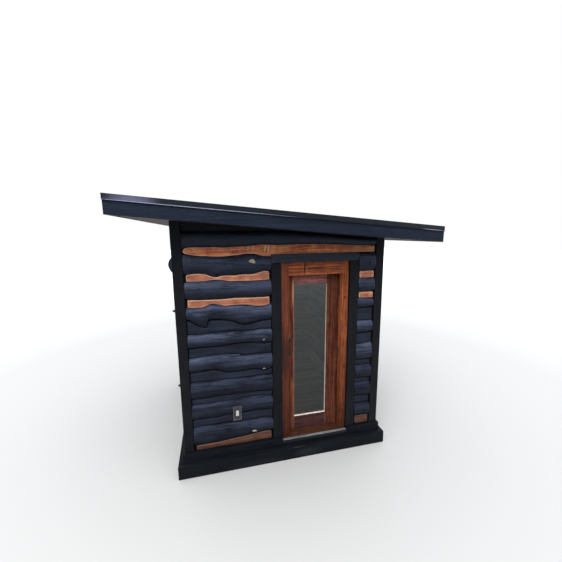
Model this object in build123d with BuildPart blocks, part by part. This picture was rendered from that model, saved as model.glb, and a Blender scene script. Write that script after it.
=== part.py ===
"""Outdoor sauna: a small log-faced cabin with a glazed door under a single-slope metal roof.

Millimetres. The origin is at the centre of the base on the ground, +X runs to the right along
the front, +Y runs from the front to the back and +Z is up. Heights whose names say "level" are
measured from the ledge, the top of the base, on which the walls' facings stand.
"""

import os
from math import cos, hypot, pi, sin

from build123d import *

# Cabin body
body_width = 1830.0  # over the corner boards, left to right
body_depth = 1830.0  # over the corner boards, front to back
wall_thickness = 112.0  # framed, lined wall without its facing
facing_depth = 38.0  # corner boards and door trim, from the wall to their faces
corner_board_width = 78.0

# Base
ledge_height = 198.0  # ground to the ledge
upper_base_thickness = 57.0
upper_base_reach = 19.0  # how far the ledge stands out from the corner boards
lower_base_thickness = 38.0
lower_base_height = 117.0
deck_drop = 48.0  # ledge down to the top of the floor deck
deck_thickness = 19.0
joist_thickness = 38.0
joist_count = 5

# Roof
roof_slope = 1.0 / 12.0  # fall to the right
soffit_level = 1972.0  # underside of the soffit over the left end of the front
roof_reach = 305.0  # framing beyond the corner boards on every side
soffit_thickness = 10.0
rafter_depth = 89.0
rafter_thickness = 38.0
rafter_count = 7
roof_deck_thickness = 12.0
fascia_thickness = 19.0
fascia_drop = 4.0  # fascia below the soffit
sheet_thickness = 1.2
rib_height = 12.0
rib_count = 11
rib_top_width = 20.0
rib_foot_width = 56.0
rib_edge_inset = 36.0  # outermost rib's centre from the fascia's face
trim_thickness = 2.0
trim_fall = 40.0  # edge trim's face, top to lip
trim_top_width = 95.0
trim_lip = 8.0
trim_lip_fall = 5.0

# Doorway and its trim
frame_width = 632.0
frame_offset = 269.0  # its middle to the right of the cabin's
frame_level = 1630.0  # top of the door frame
door_trim_width = 84.0
door_head_trim_height = 67.0

# Door frame
frame_setback = 25.0  # its face behind the trim's
jamb_width_left = 70.6
jamb_width_right = 58.6
head_height = 119.0
sill_thickness = 30.0
threshold_depth = 39.0
stop_depth = 10.0
stop_overlap = 12.0

# Door leaf
leaf_setback = 95.0  # its face behind the trim's
leaf_thickness = 40.0
latch_gap = 8.0
hinge_gap = 5.0
leaf_end_gap = 5.0  # above and below the leaf
stop_gap = 5.0
stile_width_left = 58.5
stile_width_right = 117.0
top_rail_width = 87.0
bottom_rail_width = 138.0
bead_width = 12.0
glass_recess = 17.0
glass_thickness = 10.0

# Hinges
hinge_count = 3
hinge_height = 90.0
hinge_end_distance = 165.0  # outer hinges' centres from the leaf's ends
knuckle_radius = 6.0
pin_radius = 3.0
pin_clearance = 0.05
knuckle_gap = 0.5
knuckle_clearance = 2.0  # knuckle off the jamb and off the leaf
hinge_plate_thickness = 2.0
hinge_plate_width = 34.0

# Door pull
pull_level = 838.0  # its middle
pull_length = 174.0
pull_grip_radius = 6.0
pull_reach = 36.0
pull_bend_radius = 18.0
pull_pad_height = 42.0
pull_pad_width = 22.0
pull_pad_thickness = 3.0
pull_inset = 15.0  # its middle from the leaf's free edge

# Siding
half_log_depth = 46.0  # crown from the wall
half_log_edge = 13.0  # thickness left at the live edges
crown_share = 0.3  # a narrow log rises from its edges by no more than this share of its height
crown_flats = 6  # flats that round a half log's face
live_edge_thickness = 25.0
fill_thickness = 20.0
course_gap = 6.0
siding_gap = 2.0  # ends of the courses off the boards beside them
strip_end_gap = 16.0  # natural strips stop this much shorter
top_log_level = 1893.0
soffit_gap = 3.0
least_fill_height = 14.0

# Outlet on the front
outlet_across = 459.0
outlet_level = 318.0
outlet_width = 75.0
outlet_height = 132.0
outlet_flange = 4.0
outlet_box_inset = 9.0  # box inside its flange all round
outlet_stand_off = 1.0  # flange in front of the half log's crown
outlet_pocket_gap = 1.5
insert_width = 34.0
insert_height = 68.0
insert_rise = 2.0

# Live edges of the courses, as heights above the ledge at eight stations across the front: five
# left of the door, one over it and two right of it
left_count = 5
right_count = 2
ledge_line = (0, 0, 0, 0, 0, 0, 0, 0)
strip_4_top = (66, 71, 81, 89, 97, 102, 107, 104)
log_h_top = (225, 224, 225, 226, 214, 218, 222, 226)
log_g_foot = (300, 294, 288, 298, 294, 298, 302, 298)
log_g_top = (436, 439, 438, 440, 436, 440, 441, 437)
log_f_foot = (484, 482, 487, 480, 478, 481, 484, 480)
log_f_top = (640, 636, 634, 633, 640, 632, 622, 618)
log_e_foot = (720, 720, 693, 690, 698, 684, 672, 668)
log_e_top = (850, 857, 857, 838, 836, 830, 832, 846)
log_d_foot = (940, 938, 944, 945, 930, 934, 938, 944)
log_d_top = (1050, 1056, 1058, 1058, 1050, 1057, 1060, 1054)
log_c_foot = (1152, 1120, 1158, 1112, 1140, 1162, 1180, 1184)
log_c_top = (1284, 1300, 1283, 1273, 1272, 1277, 1279, 1276)
log_b_foot = (1358, 1358, 1360, 1358, 1356, 1352, 1348, 1346)
log_b_top = (1495, 1503, 1495, 1487, 1487, 1476, 1466, 1468)
log_a_foot = (1558, 1562, 1546, 1549, 1566, 1552, 1538, 1542)
log_a_top = (1700, 1690, 1692, 1702, 1686, 1694, 1702, 1702)
strip_1_top = (1765, 1768, 1771, 1776, 1779, 1781, 1764, 1757)

half_log_courses = (
    (strip_4_top, log_h_top),
    (log_g_foot, log_g_top),
    (log_f_foot, log_f_top),
    (log_e_foot, log_e_top),
    (log_d_foot, log_d_top),
    (log_c_foot, log_c_top),
    (log_b_foot, log_b_top),
    (log_a_foot, log_a_top),
)
fill_courses = (
    (log_h_top, log_g_foot),
    (log_g_top, log_f_foot),
    (log_f_top, log_e_foot),
    (log_e_top, log_d_foot),
    (log_d_top, log_c_foot),
)
strip_courses = (
    (ledge_line, strip_4_top),
    (log_c_top, log_b_foot),
    (log_b_top, log_a_foot),
)

# Places worked out from the sizes above
half_width = body_width / 2
half_depth = body_depth / 2
front_wall_y = facing_depth - half_depth  # outer faces of the walls
side_wall_x = half_width - facing_depth
inner_y = half_depth - facing_depth - wall_thickness  # inner faces of the walls
inner_x = side_wall_x - wall_thickness
deck_z = ledge_height - deck_drop
joist_top = deck_z - deck_thickness

frame_x0 = frame_offset - frame_width / 2
frame_x1 = frame_x0 + frame_width
frame_top = ledge_height + frame_level
opening_x0 = frame_x0 + jamb_width_left
opening_x1 = frame_x1 - jamb_width_right
opening_top = frame_top - head_height
sill_z = deck_z + sill_thickness
frame_y = frame_setback - half_depth
threshold_y0 = -half_depth - upper_base_reach
threshold_y1 = threshold_y0 + threshold_depth
wall_back_y = front_wall_y + wall_thickness

leaf_x0 = opening_x0 + latch_gap
leaf_x1 = opening_x1 - hinge_gap
leaf_z0 = sill_z + leaf_end_gap
leaf_z1 = opening_top - leaf_end_gap
leaf_y0 = leaf_setback - half_depth
leaf_y1 = leaf_y0 + leaf_thickness
stop_y0 = leaf_y1 + stop_gap
stop_y1 = stop_y0 + stop_depth
pane_x0 = leaf_x0 + stile_width_left
pane_x1 = leaf_x1 - stile_width_right
pane_z0 = leaf_z0 + bottom_rail_width
pane_z1 = leaf_z1 - top_rail_width
pane_y0 = leaf_y0 + glass_recess
pane_y1 = pane_y0 + glass_thickness

hinge_x = opening_x1 - knuckle_clearance - knuckle_radius
hinge_y = leaf_y0 - knuckle_clearance - knuckle_radius
hinge_pitch = (leaf_z1 - leaf_z0 - 2 * hinge_end_distance) / (hinge_count - 1)
hinge_centres = [leaf_z0 + hinge_end_distance + i * hinge_pitch for i in range(hinge_count)]

roof_x0 = -half_width - roof_reach
roof_x1 = half_width + roof_reach
roof_y0 = -half_depth - roof_reach
roof_y1 = half_depth + roof_reach
roof_deck_base = soffit_thickness + rafter_depth
roof_deck_top = roof_deck_base + roof_deck_thickness
rib_top = roof_deck_top + rib_height
trim_top = rib_top + trim_thickness
fascia_x0 = roof_x0 - fascia_thickness  # outer faces of the fascias
fascia_x1 = roof_x1 + fascia_thickness
fascia_y0 = roof_y0 - fascia_thickness
fascia_y1 = roof_y1 + fascia_thickness
eave_edge_x = fascia_x1 + trim_thickness + trim_lip  # low edge of the roofing
rake_trim_inner_y = fascia_y0 - trim_thickness + trim_top_width

upper_base_x = half_width + upper_base_reach
upper_base_y = half_depth + upper_base_reach
lower_base_x = upper_base_x + lower_base_thickness
lower_base_y = upper_base_y + lower_base_thickness


def soffit_z(x):
    """Height of the soffit's underside above the ground at x."""
    return ledge_height + soffit_level - roof_slope * (x + half_width)


def front_plane(y):
    """Plane at depth y seen from the front: local x is X, local y is Z, and it faces -Y."""
    return Plane(origin=(0, y, 0), x_dir=(1, 0, 0), z_dir=(0, -1, 0))


def roof_plane(x):
    """Upright plane across the roof at x: local x is Y, local y is height over the soffit line."""
    return Plane(origin=(x, 0, soffit_z(x)), x_dir=(0, 1, 0), z_dir=(1, 0, 0))


def box_outline(x0, x1, z0, z1):
    """Corners of an upright rectangle, given by its limits."""
    return [(x0, z0), (x1, z0), (x1, z1), (x0, z1)]


def outline_under_roof(x0, x1, z0):
    """Corners of an upright panel from z0 up to the soffit."""
    return [(x0, z0), (x1, z0), (x1, soffit_z(x1)), (x0, soffit_z(x0))]


def along_roof(x0, x1):
    """Direction and length of an extrusion that follows the roof's fall from x0 to x1."""
    run = x1 - x0
    return Vector(1, 0, -roof_slope), hypot(run, roof_slope * run)


def roof_point(x, height):
    """Point of an upright lengthwise section, given by its height over the soffit line."""
    return (x, soffit_z(x) + height)


def wall_face(x, y, x_dir, z_dir):
    """Plane on a wall's outer face: local x runs across it, local y up and local z outward."""
    return Plane(origin=(x, y, ledge_height), x_dir=x_dir, z_dir=z_dir)


def section_plane(wall, across):
    """Upright plane square to a wall: local x is outward and local y is up."""
    origin = wall.from_local_coords(Vector(across, 0, 0))
    return Plane(origin=origin, x_dir=wall.z_dir, z_dir=-wall.x_dir)


def soffit_level_at(wall, across):
    """Height of the soffit above the ledge, at a distance across a wall's face."""
    return soffit_z(wall.from_local_coords(Vector(across, 0, 0)).X) - ledge_height


def spread(start, end, count):
    """Evenly spread stations that stop a siding gap short of the boards at start and end."""
    first = start + siding_gap
    pitch = (end - siding_gap - first) / (count - 1)
    return [first + i * pitch for i in range(count)]


def half_log_section(wall, across, foot, top):
    """Section of a half log: flat back, thin live edges and a face rounded in flats."""
    rise = min(half_log_depth - half_log_edge, crown_share * (top - foot))
    middle = (foot + top) / 2
    turns = [pi * step / crown_flats for step in range(crown_flats + 1)]
    face = [
        (half_log_edge + rise * sin(turn), middle + (top - foot) / 2 * cos(turn)) for turn in turns
    ]
    with BuildSketch(section_plane(wall, across)) as section:
        with BuildLine():
            Polyline((0, foot), (0, top), *face, close=True)
        make_face()
    return section.sketch


def half_log_sections(wall, stations, feet, tops):
    """Sections of one half log at its stations."""
    gap = course_gap / 2
    rows = zip(stations, feet, tops)
    return [half_log_section(wall, across, foot + gap, top - gap) for across, foot, top in rows]


def live_edge_outline(wall, stations, feet, tops):
    """Outline of a flat board with live edges, on a wall's face."""
    gap = course_gap / 2
    low = [(across, foot + gap) for across, foot in zip(stations, feet)]
    high = [(across, top - gap) for across, top in zip(stations, tops)]
    with BuildSketch(wall) as outline:
        with BuildLine():
            Polyline(*low, *reversed(high), close=True)
        make_face()
    return outline.sketch


def set_in(stations):
    """Stations of a natural strip, whose ends stop short of the boards beside it."""
    return [stations[0] + strip_end_gap, *stations[1:-1], stations[-1] - strip_end_gap]


def make_siding(wall, stations, choose):
    """Black half logs, and the flat boards that fill between them, on one stretch of a wall."""
    with BuildPart() as siding:
        for feet, tops in half_log_courses:
            loft(half_log_sections(wall, stations, choose(feet), choose(tops)), ruled=True)
        for feet, tops in fill_courses:
            outline = live_edge_outline(wall, stations, choose(feet), choose(tops))
            extrude(outline, amount=fill_thickness)
    return siding


def save(piece, name):
    """Label a finished piece and write its file."""
    piece.part.label = name
    export_step(piece.part, f"parts/{name}.step")


os.makedirs("parts", exist_ok=True)

# Base: a wide lower course of boards and a narrower upper course around the floor
with BuildPart() as lower_base_front_back:
    with BuildSketch():
        with GridLocations(0, 2 * lower_base_y - lower_base_thickness, 1, 2):
            Rectangle(2 * lower_base_x, lower_base_thickness)
    extrude(amount=lower_base_height)
save(lower_base_front_back, "lower_base_front_back")

with BuildPart() as lower_base_sides:
    with BuildSketch():
        with GridLocations(2 * lower_base_x - lower_base_thickness, 0, 2, 1):
            Rectangle(lower_base_thickness, 2 * upper_base_y)
    extrude(amount=lower_base_height)
save(lower_base_sides, "lower_base_sides")

with BuildPart() as upper_base_front_back:
    with BuildSketch():
        with GridLocations(0, 2 * upper_base_y - upper_base_thickness, 1, 2):
            Rectangle(2 * upper_base_x, upper_base_thickness)
    extrude(amount=ledge_height)
    with BuildSketch(front_plane(front_wall_y)):
        Polygon(*box_outline(frame_x0, frame_x1, deck_z, ledge_height))
    extrude(amount=upper_base_thickness, mode=Mode.SUBTRACT)
save(upper_base_front_back, "upper_base_front_back")

with BuildPart() as upper_base_sides:
    with BuildSketch():
        with GridLocations(2 * upper_base_x - upper_base_thickness, 0, 2, 1):
            Rectangle(upper_base_thickness, -2 * front_wall_y)
    extrude(amount=ledge_height)
save(upper_base_sides, "upper_base_sides")

joist_pitch = (2 * side_wall_x - joist_thickness) / (joist_count - 1)
with BuildPart() as floor_joists:
    with BuildSketch():
        with GridLocations(joist_pitch, 0, joist_count, 1):
            Rectangle(joist_thickness, -2 * front_wall_y)
    extrude(amount=joist_top)
save(floor_joists, "floor_joists")

with BuildPart() as floor_deck:
    with BuildSketch(Plane.XY.offset(joist_top)):
        Rectangle(2 * side_wall_x, -2 * front_wall_y)
    extrude(amount=deck_thickness)
save(floor_deck, "floor_deck")

# Walls: plain lined panels, split beside and over the doorway
with BuildPart() as front_wall_left:
    with BuildSketch(front_plane(wall_back_y)):
        Polygon(*outline_under_roof(-side_wall_x, frame_x0, deck_z))
    extrude(amount=wall_thickness)
save(front_wall_left, "front_wall_left")

with BuildPart() as front_wall_right:
    with BuildSketch(front_plane(wall_back_y)):
        Polygon(*outline_under_roof(frame_x1, side_wall_x, deck_z))
    extrude(amount=wall_thickness)
save(front_wall_right, "front_wall_right")

with BuildPart() as front_wall_over_door:
    with BuildSketch(front_plane(wall_back_y)):
        Polygon(*outline_under_roof(frame_x0, frame_x1, frame_top))
    extrude(amount=wall_thickness)
save(front_wall_over_door, "front_wall_over_door")

with BuildPart() as back_wall:
    with BuildSketch(front_plane(-front_wall_y)):
        Polygon(*outline_under_roof(-side_wall_x, side_wall_x, deck_z))
    extrude(amount=wall_thickness)
save(back_wall, "back_wall")

with BuildPart() as left_wall:
    with BuildSketch(front_plane(inner_y)):
        Polygon(*outline_under_roof(-side_wall_x, -inner_x, deck_z))
    extrude(amount=2 * inner_y)
save(left_wall, "left_wall")

with BuildPart() as right_wall:
    with BuildSketch(front_plane(inner_y)):
        Polygon(*outline_under_roof(inner_x, side_wall_x, deck_z))
    extrude(amount=2 * inner_y)
save(right_wall, "right_wall")

# Corner boards: the front and back pairs cover the edges of the side pairs
board_edges = (-half_width, half_width - corner_board_width)
with BuildPart() as front_back_corner_boards:
    for back_y in (front_wall_y, half_depth):
        with BuildSketch(front_plane(back_y)):
            for x in board_edges:
                Polygon(*outline_under_roof(x, x + corner_board_width, ledge_height))
        extrude(amount=facing_depth)
save(front_back_corner_boards, "front_back_corner_boards")

with BuildPart() as side_corner_boards:
    for back_y in (front_wall_y + corner_board_width, -front_wall_y):
        with BuildSketch(front_plane(back_y)):
            for x in (-half_width, side_wall_x):
                Polygon(*outline_under_roof(x, x + facing_depth, ledge_height))
        extrude(amount=corner_board_width)
save(side_corner_boards, "side_corner_boards")

# Door trim: flat boards beside and over the door frame
with BuildPart() as door_trim_sides:
    with BuildSketch(front_plane(front_wall_y)):
        for x in (frame_x0 - door_trim_width, frame_x1):
            Polygon(*box_outline(x, x + door_trim_width, ledge_height, frame_top))
    extrude(amount=facing_depth)
save(door_trim_sides, "door_trim_sides")

head_trim_x0 = frame_x0 - door_trim_width
head_trim_x1 = frame_x1 + door_trim_width
head_trim_top = frame_top + door_head_trim_height
with BuildPart() as door_trim_head:
    with BuildSketch(front_plane(front_wall_y)):
        Polygon(*box_outline(head_trim_x0, head_trim_x1, frame_top, head_trim_top))
    extrude(amount=facing_depth)
save(door_trim_head, "door_trim_head")

# Door frame: rebated jambs and head, a sill and a threshold let into the base
with BuildPart() as door_jambs:
    with BuildSketch(Plane.XY.offset(sill_z)):
        Polygon(
            (frame_x0, frame_y),
            (opening_x0, frame_y),
            (opening_x0, stop_y0),
            (opening_x0 + stop_overlap, stop_y0),
            (opening_x0 + stop_overlap, stop_y1),
            (frame_x0, stop_y1),
        )
        Polygon(
            (frame_x1, frame_y),
            (frame_x1, stop_y1),
            (opening_x1 - stop_overlap, stop_y1),
            (opening_x1 - stop_overlap, stop_y0),
            (opening_x1, stop_y0),
            (opening_x1, frame_y),
        )
    extrude(amount=frame_top - sill_z)
save(door_jambs, "door_jambs")

with BuildPart() as door_head:
    with BuildSketch(front_plane(stop_y0)):
        Polygon(*box_outline(opening_x0, opening_x1, opening_top, frame_top))
    extrude(amount=stop_y0 - frame_y)
    with BuildSketch(front_plane(stop_y1)):
        stop_x0 = opening_x0 + stop_overlap
        stop_x1 = opening_x1 - stop_overlap
        Polygon(*box_outline(stop_x0, stop_x1, opening_top - stop_overlap, frame_top))
    extrude(amount=stop_depth)
save(door_head, "door_head")

with BuildPart() as door_sill:
    with BuildSketch(Plane.XY.offset(deck_z)):
        Polygon(*box_outline(frame_x0, frame_x1, threshold_y1, stop_y1))
    extrude(amount=sill_thickness)
save(door_sill, "door_sill")

with BuildPart() as door_threshold:
    with BuildSketch(Plane.XY.offset(deck_z)):
        Polygon(*box_outline(frame_x0, frame_x1, threshold_y0, threshold_y1))
    extrude(amount=sill_thickness)
save(door_threshold, "door_threshold")

# Door leaf
with BuildPart() as door_stiles:
    with BuildSketch(front_plane(leaf_y1)):
        Polygon(*box_outline(leaf_x0, pane_x0, leaf_z0, leaf_z1))
        Polygon(*box_outline(pane_x1, leaf_x1, leaf_z0, leaf_z1))
    extrude(amount=leaf_thickness)
save(door_stiles, "door_stiles")

with BuildPart() as door_rails:
    with BuildSketch(front_plane(leaf_y1)):
        Polygon(*box_outline(pane_x0, pane_x1, leaf_z0, pane_z0))
        Polygon(*box_outline(pane_x0, pane_x1, pane_z1, leaf_z1))
    extrude(amount=leaf_thickness)
save(door_rails, "door_rails")

pane_centre = ((pane_x0 + pane_x1) / 2, (pane_z0 + pane_z1) / 2)
pane_size = (pane_x1 - pane_x0, pane_z1 - pane_z0)
with BuildPart() as door_glass:
    with BuildSketch(front_plane(pane_y1)):
        with Locations(pane_centre):
            Rectangle(*pane_size)
    extrude(amount=glass_thickness)
save(door_glass, "door_glass")

with BuildPart() as door_beads:
    for back_y, depth in ((pane_y0, glass_recess), (leaf_y1, leaf_y1 - pane_y1)):
        with BuildSketch(front_plane(back_y)) as bead_outline:
            with Locations(pane_centre):
                Rectangle(*pane_size)
            offset(amount=-bead_width, mode=Mode.SUBTRACT)
        extrude(amount=depth)
save(door_beads, "door_beads")

# Door pull: a bent bar between two plates, near the leaf's free edge
pull_x = leaf_x0 + pull_inset
pull_z = ledge_height + pull_level
pull_foot = pull_length / 2 - pull_pad_height / 2
with BuildPart() as door_pull:
    with BuildSketch(front_plane(leaf_y0)):
        with Locations((pull_x, pull_z - pull_foot), (pull_x, pull_z + pull_foot)):
            RectangleRounded(pull_pad_width, pull_pad_height, pull_pad_width / 4)
    extrude(amount=pull_pad_thickness)
    with BuildLine(Plane(origin=(pull_x, leaf_y0, pull_z), x_dir=(0, -1, 0), z_dir=(1, 0, 0))) as bar:
        FilletPolyline(
            (0, -pull_foot),
            (pull_reach, -pull_foot),
            (pull_reach, pull_foot),
            (0, pull_foot),
            radius=pull_bend_radius,
        )
    with BuildSketch(Plane(origin=bar.line @ 0, z_dir=bar.line % 0)):
        Circle(pull_grip_radius)
    sweep()
save(door_pull, "door_pull")

# Hinges: fixed knuckles with the pin on the jamb, the middle knuckle on the leaf
knuckle_height = (hinge_height - 2 * knuckle_gap) / 3
plate_foot_y = hinge_y + knuckle_radius + knuckle_clearance
with BuildPart() as hinges_on_jamb:
    for centre in hinge_centres:
        foot = centre - hinge_height / 2
        plate_x = opening_x1 - hinge_plate_thickness
        with BuildSketch(Plane.XY.offset(foot)):
            with Locations((hinge_x, hinge_y)):
                Circle(pin_radius)
        extrude(amount=hinge_height)
        for z in (foot, foot + hinge_height - knuckle_height):
            with BuildSketch(Plane.XY.offset(z)):
                with Locations((hinge_x, hinge_y)):
                    Circle(knuckle_radius)
                Polygon(*box_outline(hinge_x, opening_x1, hinge_y, plate_foot_y))
            extrude(amount=knuckle_height)
        with BuildSketch(Plane.XY.offset(foot)):
            Polygon(*box_outline(plate_x, opening_x1, plate_foot_y, plate_foot_y + hinge_plate_width))
        extrude(amount=hinge_height)
save(hinges_on_jamb, "hinges_on_jamb")

with BuildPart() as hinges_on_leaf:
    for centre in hinge_centres:
        plate_x = leaf_x1 + hinge_plate_thickness
        with BuildSketch(Plane.XY.offset(centre - knuckle_height / 2)):
            with Locations((hinge_x, hinge_y)):
                Circle(knuckle_radius)
            Polygon(*box_outline(hinge_x, plate_x, hinge_y, plate_foot_y))
            with Locations((hinge_x, hinge_y)):
                Circle(pin_radius + pin_clearance, mode=Mode.SUBTRACT)
        extrude(amount=knuckle_height)
        with BuildSketch(Plane.XY.offset(centre - hinge_height / 2)):
            Polygon(*box_outline(leaf_x1, plate_x, plate_foot_y, plate_foot_y + hinge_plate_width))
        extrude(amount=hinge_height)
save(hinges_on_leaf, "hinges_on_leaf")

# Siding: half logs and fill boards between the corner boards and the door trim
front_face = wall_face(-half_width, front_wall_y, (1, 0, 0), (0, -1, 0))
back_face = wall_face(half_width, -front_wall_y, (-1, 0, 0), (0, 1, 0))
left_face = wall_face(-side_wall_x, half_depth, (0, -1, 0), (-1, 0, 0))
right_face = wall_face(side_wall_x, -half_depth, (0, 1, 0), (1, 0, 0))
back_stations = spread(corner_board_width, body_width - corner_board_width, len(ledge_line))
side_start = facing_depth + corner_board_width
side_stations = spread(side_start, body_depth - side_start, len(ledge_line))
left_end = half_width + frame_x0 - door_trim_width
left_stations = spread(corner_board_width, left_end, left_count)
right_start = half_width + frame_x1 + door_trim_width
right_stations = spread(right_start, body_width - corner_board_width, right_count)
front_stations = [*left_stations, half_width + frame_offset, *right_stations]


def left_panel(heights):
    """The heights left of the door."""
    return heights[:left_count]


def right_panel(heights):
    """The heights right of the door."""
    return heights[-right_count:]


def forwards(heights):
    """All heights of a live edge, for a wall with no opening."""
    return heights


def backwards(heights):
    """All heights of a live edge in the other order, so that neighbouring walls differ."""
    return heights[::-1]


outlet_x = outlet_across - half_width
outlet_z = ledge_height + outlet_level
outlet_reach = half_log_depth + outlet_stand_off  # back of the outlet's flange, from the wall
box_width = outlet_width - 2 * outlet_box_inset
box_height = outlet_height - 2 * outlet_box_inset
front_siding_left = make_siding(front_face, left_stations, left_panel)
with BuildPart() as front_siding_left_cut:
    add(front_siding_left.part)
    with BuildSketch(front_plane(front_wall_y)):
        with Locations((outlet_x, outlet_z)):
            Rectangle(box_width + 2 * outlet_pocket_gap, box_height + 2 * outlet_pocket_gap)
    extrude(amount=outlet_reach, mode=Mode.SUBTRACT)
save(front_siding_left_cut, "front_siding_left")
save(make_siding(front_face, right_stations, right_panel), "front_siding_right")
save(make_siding(back_face, back_stations, backwards), "back_siding")
save(make_siding(left_face, side_stations, forwards), "left_siding")
save(make_siding(right_face, side_stations, backwards), "right_siding")

# Natural strips with live edges between the half logs
strip_1_foot_over_door = head_trim_top - ledge_height + course_gap / 2
with BuildPart() as front_strips:
    for feet, tops in strip_courses:
        for stations, choose in ((left_stations, left_panel), (right_stations, right_panel)):
            outline = live_edge_outline(front_face, set_in(stations), choose(feet), choose(tops))
            extrude(outline, amount=live_edge_thickness)
    with BuildSketch(front_face):
        with BuildLine():
            gap = course_gap / 2
            left = [(x, z + gap) for x, z in zip(left_stations, left_panel(log_a_top))]
            right = [(x, z + gap) for x, z in zip(right_stations, right_panel(log_a_top))]
            high = [(x, z - gap) for x, z in zip(front_stations, strip_1_top)]
            over_door = [(x, strip_1_foot_over_door) for x in (left[-1][0], right[0][0])]
            Polyline(*left, *over_door, *right, *reversed(high), close=True)
        make_face()
    extrude(amount=live_edge_thickness)
save(front_strips, "front_strips")

whole_strips = (*strip_courses, (log_a_top, strip_1_top))
with BuildPart() as back_strips:
    for feet, tops in whole_strips:
        outline = live_edge_outline(back_face, set_in(back_stations), feet[::-1], tops[::-1])
        extrude(outline, amount=live_edge_thickness)
save(back_strips, "back_strips")

with BuildPart() as side_strips:
    for wall, choose in ((left_face, forwards), (right_face, backwards)):
        for feet, tops in whole_strips:
            outline = live_edge_outline(wall, set_in(side_stations), choose(feet), choose(tops))
            extrude(outline, amount=live_edge_thickness)
save(side_strips, "side_strips")

# Top boards: a half log around the walls under the soffit, and a flat filler where it leaves room
right_wall_top = soffit_z(side_wall_x + half_log_depth) - ledge_height - soffit_gap
filler_foot = top_log_level + course_gap / 2
filler_run = (soffit_level - course_gap - filler_foot - least_fill_height) / roof_slope
filler_start = corner_board_width + siding_gap
with BuildPart() as top_boards:
    for wall, stations, choose in (
        (front_face, front_stations, forwards),
        (back_face, back_stations, backwards),
        (left_face, side_stations, forwards),
    ):
        levels = [soffit_level_at(wall, across) - soffit_gap for across in stations]
        tops = [min(top_log_level, level) for level in levels]
        loft(half_log_sections(wall, stations, choose(strip_1_top), tops), ruled=True)
    tops = [min(top_log_level, right_wall_top)] * len(side_stations)
    feet = backwards(strip_1_top)
    loft(half_log_sections(right_face, side_stations, feet, tops), ruled=True)
    for wall, start, end in (
        (front_face, filler_start, filler_run),
        (back_face, body_width - filler_run, body_width - filler_start),
        (left_face, side_stations[0], side_stations[-1]),
    ):
        with BuildSketch(wall):
            Polygon(
                (start, filler_foot),
                (end, filler_foot),
                (end, soffit_level_at(wall, end) - course_gap),
                (start, soffit_level_at(wall, start) - course_gap),
            )
        extrude(amount=fill_thickness)
save(top_boards, "top_boards")

# Outlet: a box through the siding with a flange and a raised insert
with BuildPart() as outlet_box:
    with BuildSketch(front_plane(front_wall_y)):
        with Locations((outlet_x, outlet_z)):
            Rectangle(box_width, box_height)
    extrude(amount=outlet_reach)
    with BuildSketch(front_plane(front_wall_y - outlet_reach)):
        with Locations((outlet_x, outlet_z)):
            Rectangle(outlet_width, outlet_height)
    extrude(amount=outlet_flange)
save(outlet_box, "outlet_box")

with BuildPart() as outlet_insert:
    with BuildSketch(front_plane(front_wall_y - outlet_reach - outlet_flange)):
        with Locations((outlet_x, outlet_z)):
            Rectangle(insert_width, insert_height)
    extrude(amount=insert_rise)
save(outlet_insert, "outlet_insert")

# Roof: soffit, rafters and deck inside four fascias, all following the fall to the right
fall, framing_length = along_roof(roof_x0, roof_x1)
with BuildPart() as soffit:
    with BuildSketch(roof_plane(roof_x0)):
        Polygon(*box_outline(roof_y0, roof_y1, 0, soffit_thickness))
    extrude(amount=framing_length, dir=fall)
save(soffit, "soffit")

rafter_pitch = (roof_y1 - roof_y0 - rafter_thickness) / (rafter_count - 1)
with BuildPart() as rafters:
    with BuildSketch(roof_plane(roof_x0)):
        with Locations((0, soffit_thickness + rafter_depth / 2)):
            with GridLocations(rafter_pitch, 0, rafter_count, 1):
                Rectangle(rafter_thickness, rafter_depth)
    extrude(amount=framing_length, dir=fall)
save(rafters, "rafters")

with BuildPart() as roof_deck:
    with BuildSketch(roof_plane(roof_x0)):
        Polygon(*box_outline(roof_y0, roof_y1, roof_deck_base, roof_deck_top))
    extrude(amount=framing_length, dir=fall)
save(roof_deck, "roof_deck")

fascia_fall, fascia_length = along_roof(fascia_x0, fascia_x1)
with BuildPart() as fascias_rake:
    with BuildSketch(roof_plane(fascia_x0)):
        for y in (fascia_y0, roof_y1):
            Polygon(*box_outline(y, y + fascia_thickness, -fascia_drop, roof_deck_top))
    extrude(amount=fascia_length, dir=fascia_fall)
save(fascias_rake, "fascias_rake")

with BuildPart() as fascias_eave:
    with BuildSketch(front_plane(roof_y1)):
        for x in (fascia_x0, roof_x1):
            Polygon(
                roof_point(x, -fascia_drop),
                roof_point(x + fascia_thickness, -fascia_drop),
                roof_point(x + fascia_thickness, roof_deck_top),
                roof_point(x, roof_deck_top),
            )
    extrude(amount=roof_y1 - roof_y0)
save(fascias_eave, "fascias_eave")


def sheet_line(height):
    """Ribbed line across the roof, from one fascia's face to the other, at a height."""
    rib_pitch = (fascia_y1 - fascia_y0 - 2 * rib_edge_inset) / (rib_count - 1)
    points = [(fascia_y0, height)]
    for i in range(rib_count):
        centre = fascia_y0 + rib_edge_inset + i * rib_pitch
        rise = height + rib_height - sheet_thickness
        points.append((centre - rib_foot_width / 2, height))
        points.append((centre - rib_top_width / 2, rise))
        points.append((centre + rib_top_width / 2, rise))
        points.append((centre + rib_foot_width / 2, height))
    return [*points, (fascia_y1, height)]


# Roofing: a ribbed sheet, with edge trim over it on three sides and under it at the low edge
sheet_fall, sheet_length = along_roof(fascia_x0, eave_edge_x)
with BuildPart() as roof_sheet:
    with BuildSketch(roof_plane(fascia_x0)):
        Polygon(*sheet_line(roof_deck_top), *reversed(sheet_line(roof_deck_top + sheet_thickness)))
    extrude(amount=sheet_length, dir=sheet_fall)
save(roof_sheet, "roof_sheet")


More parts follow.
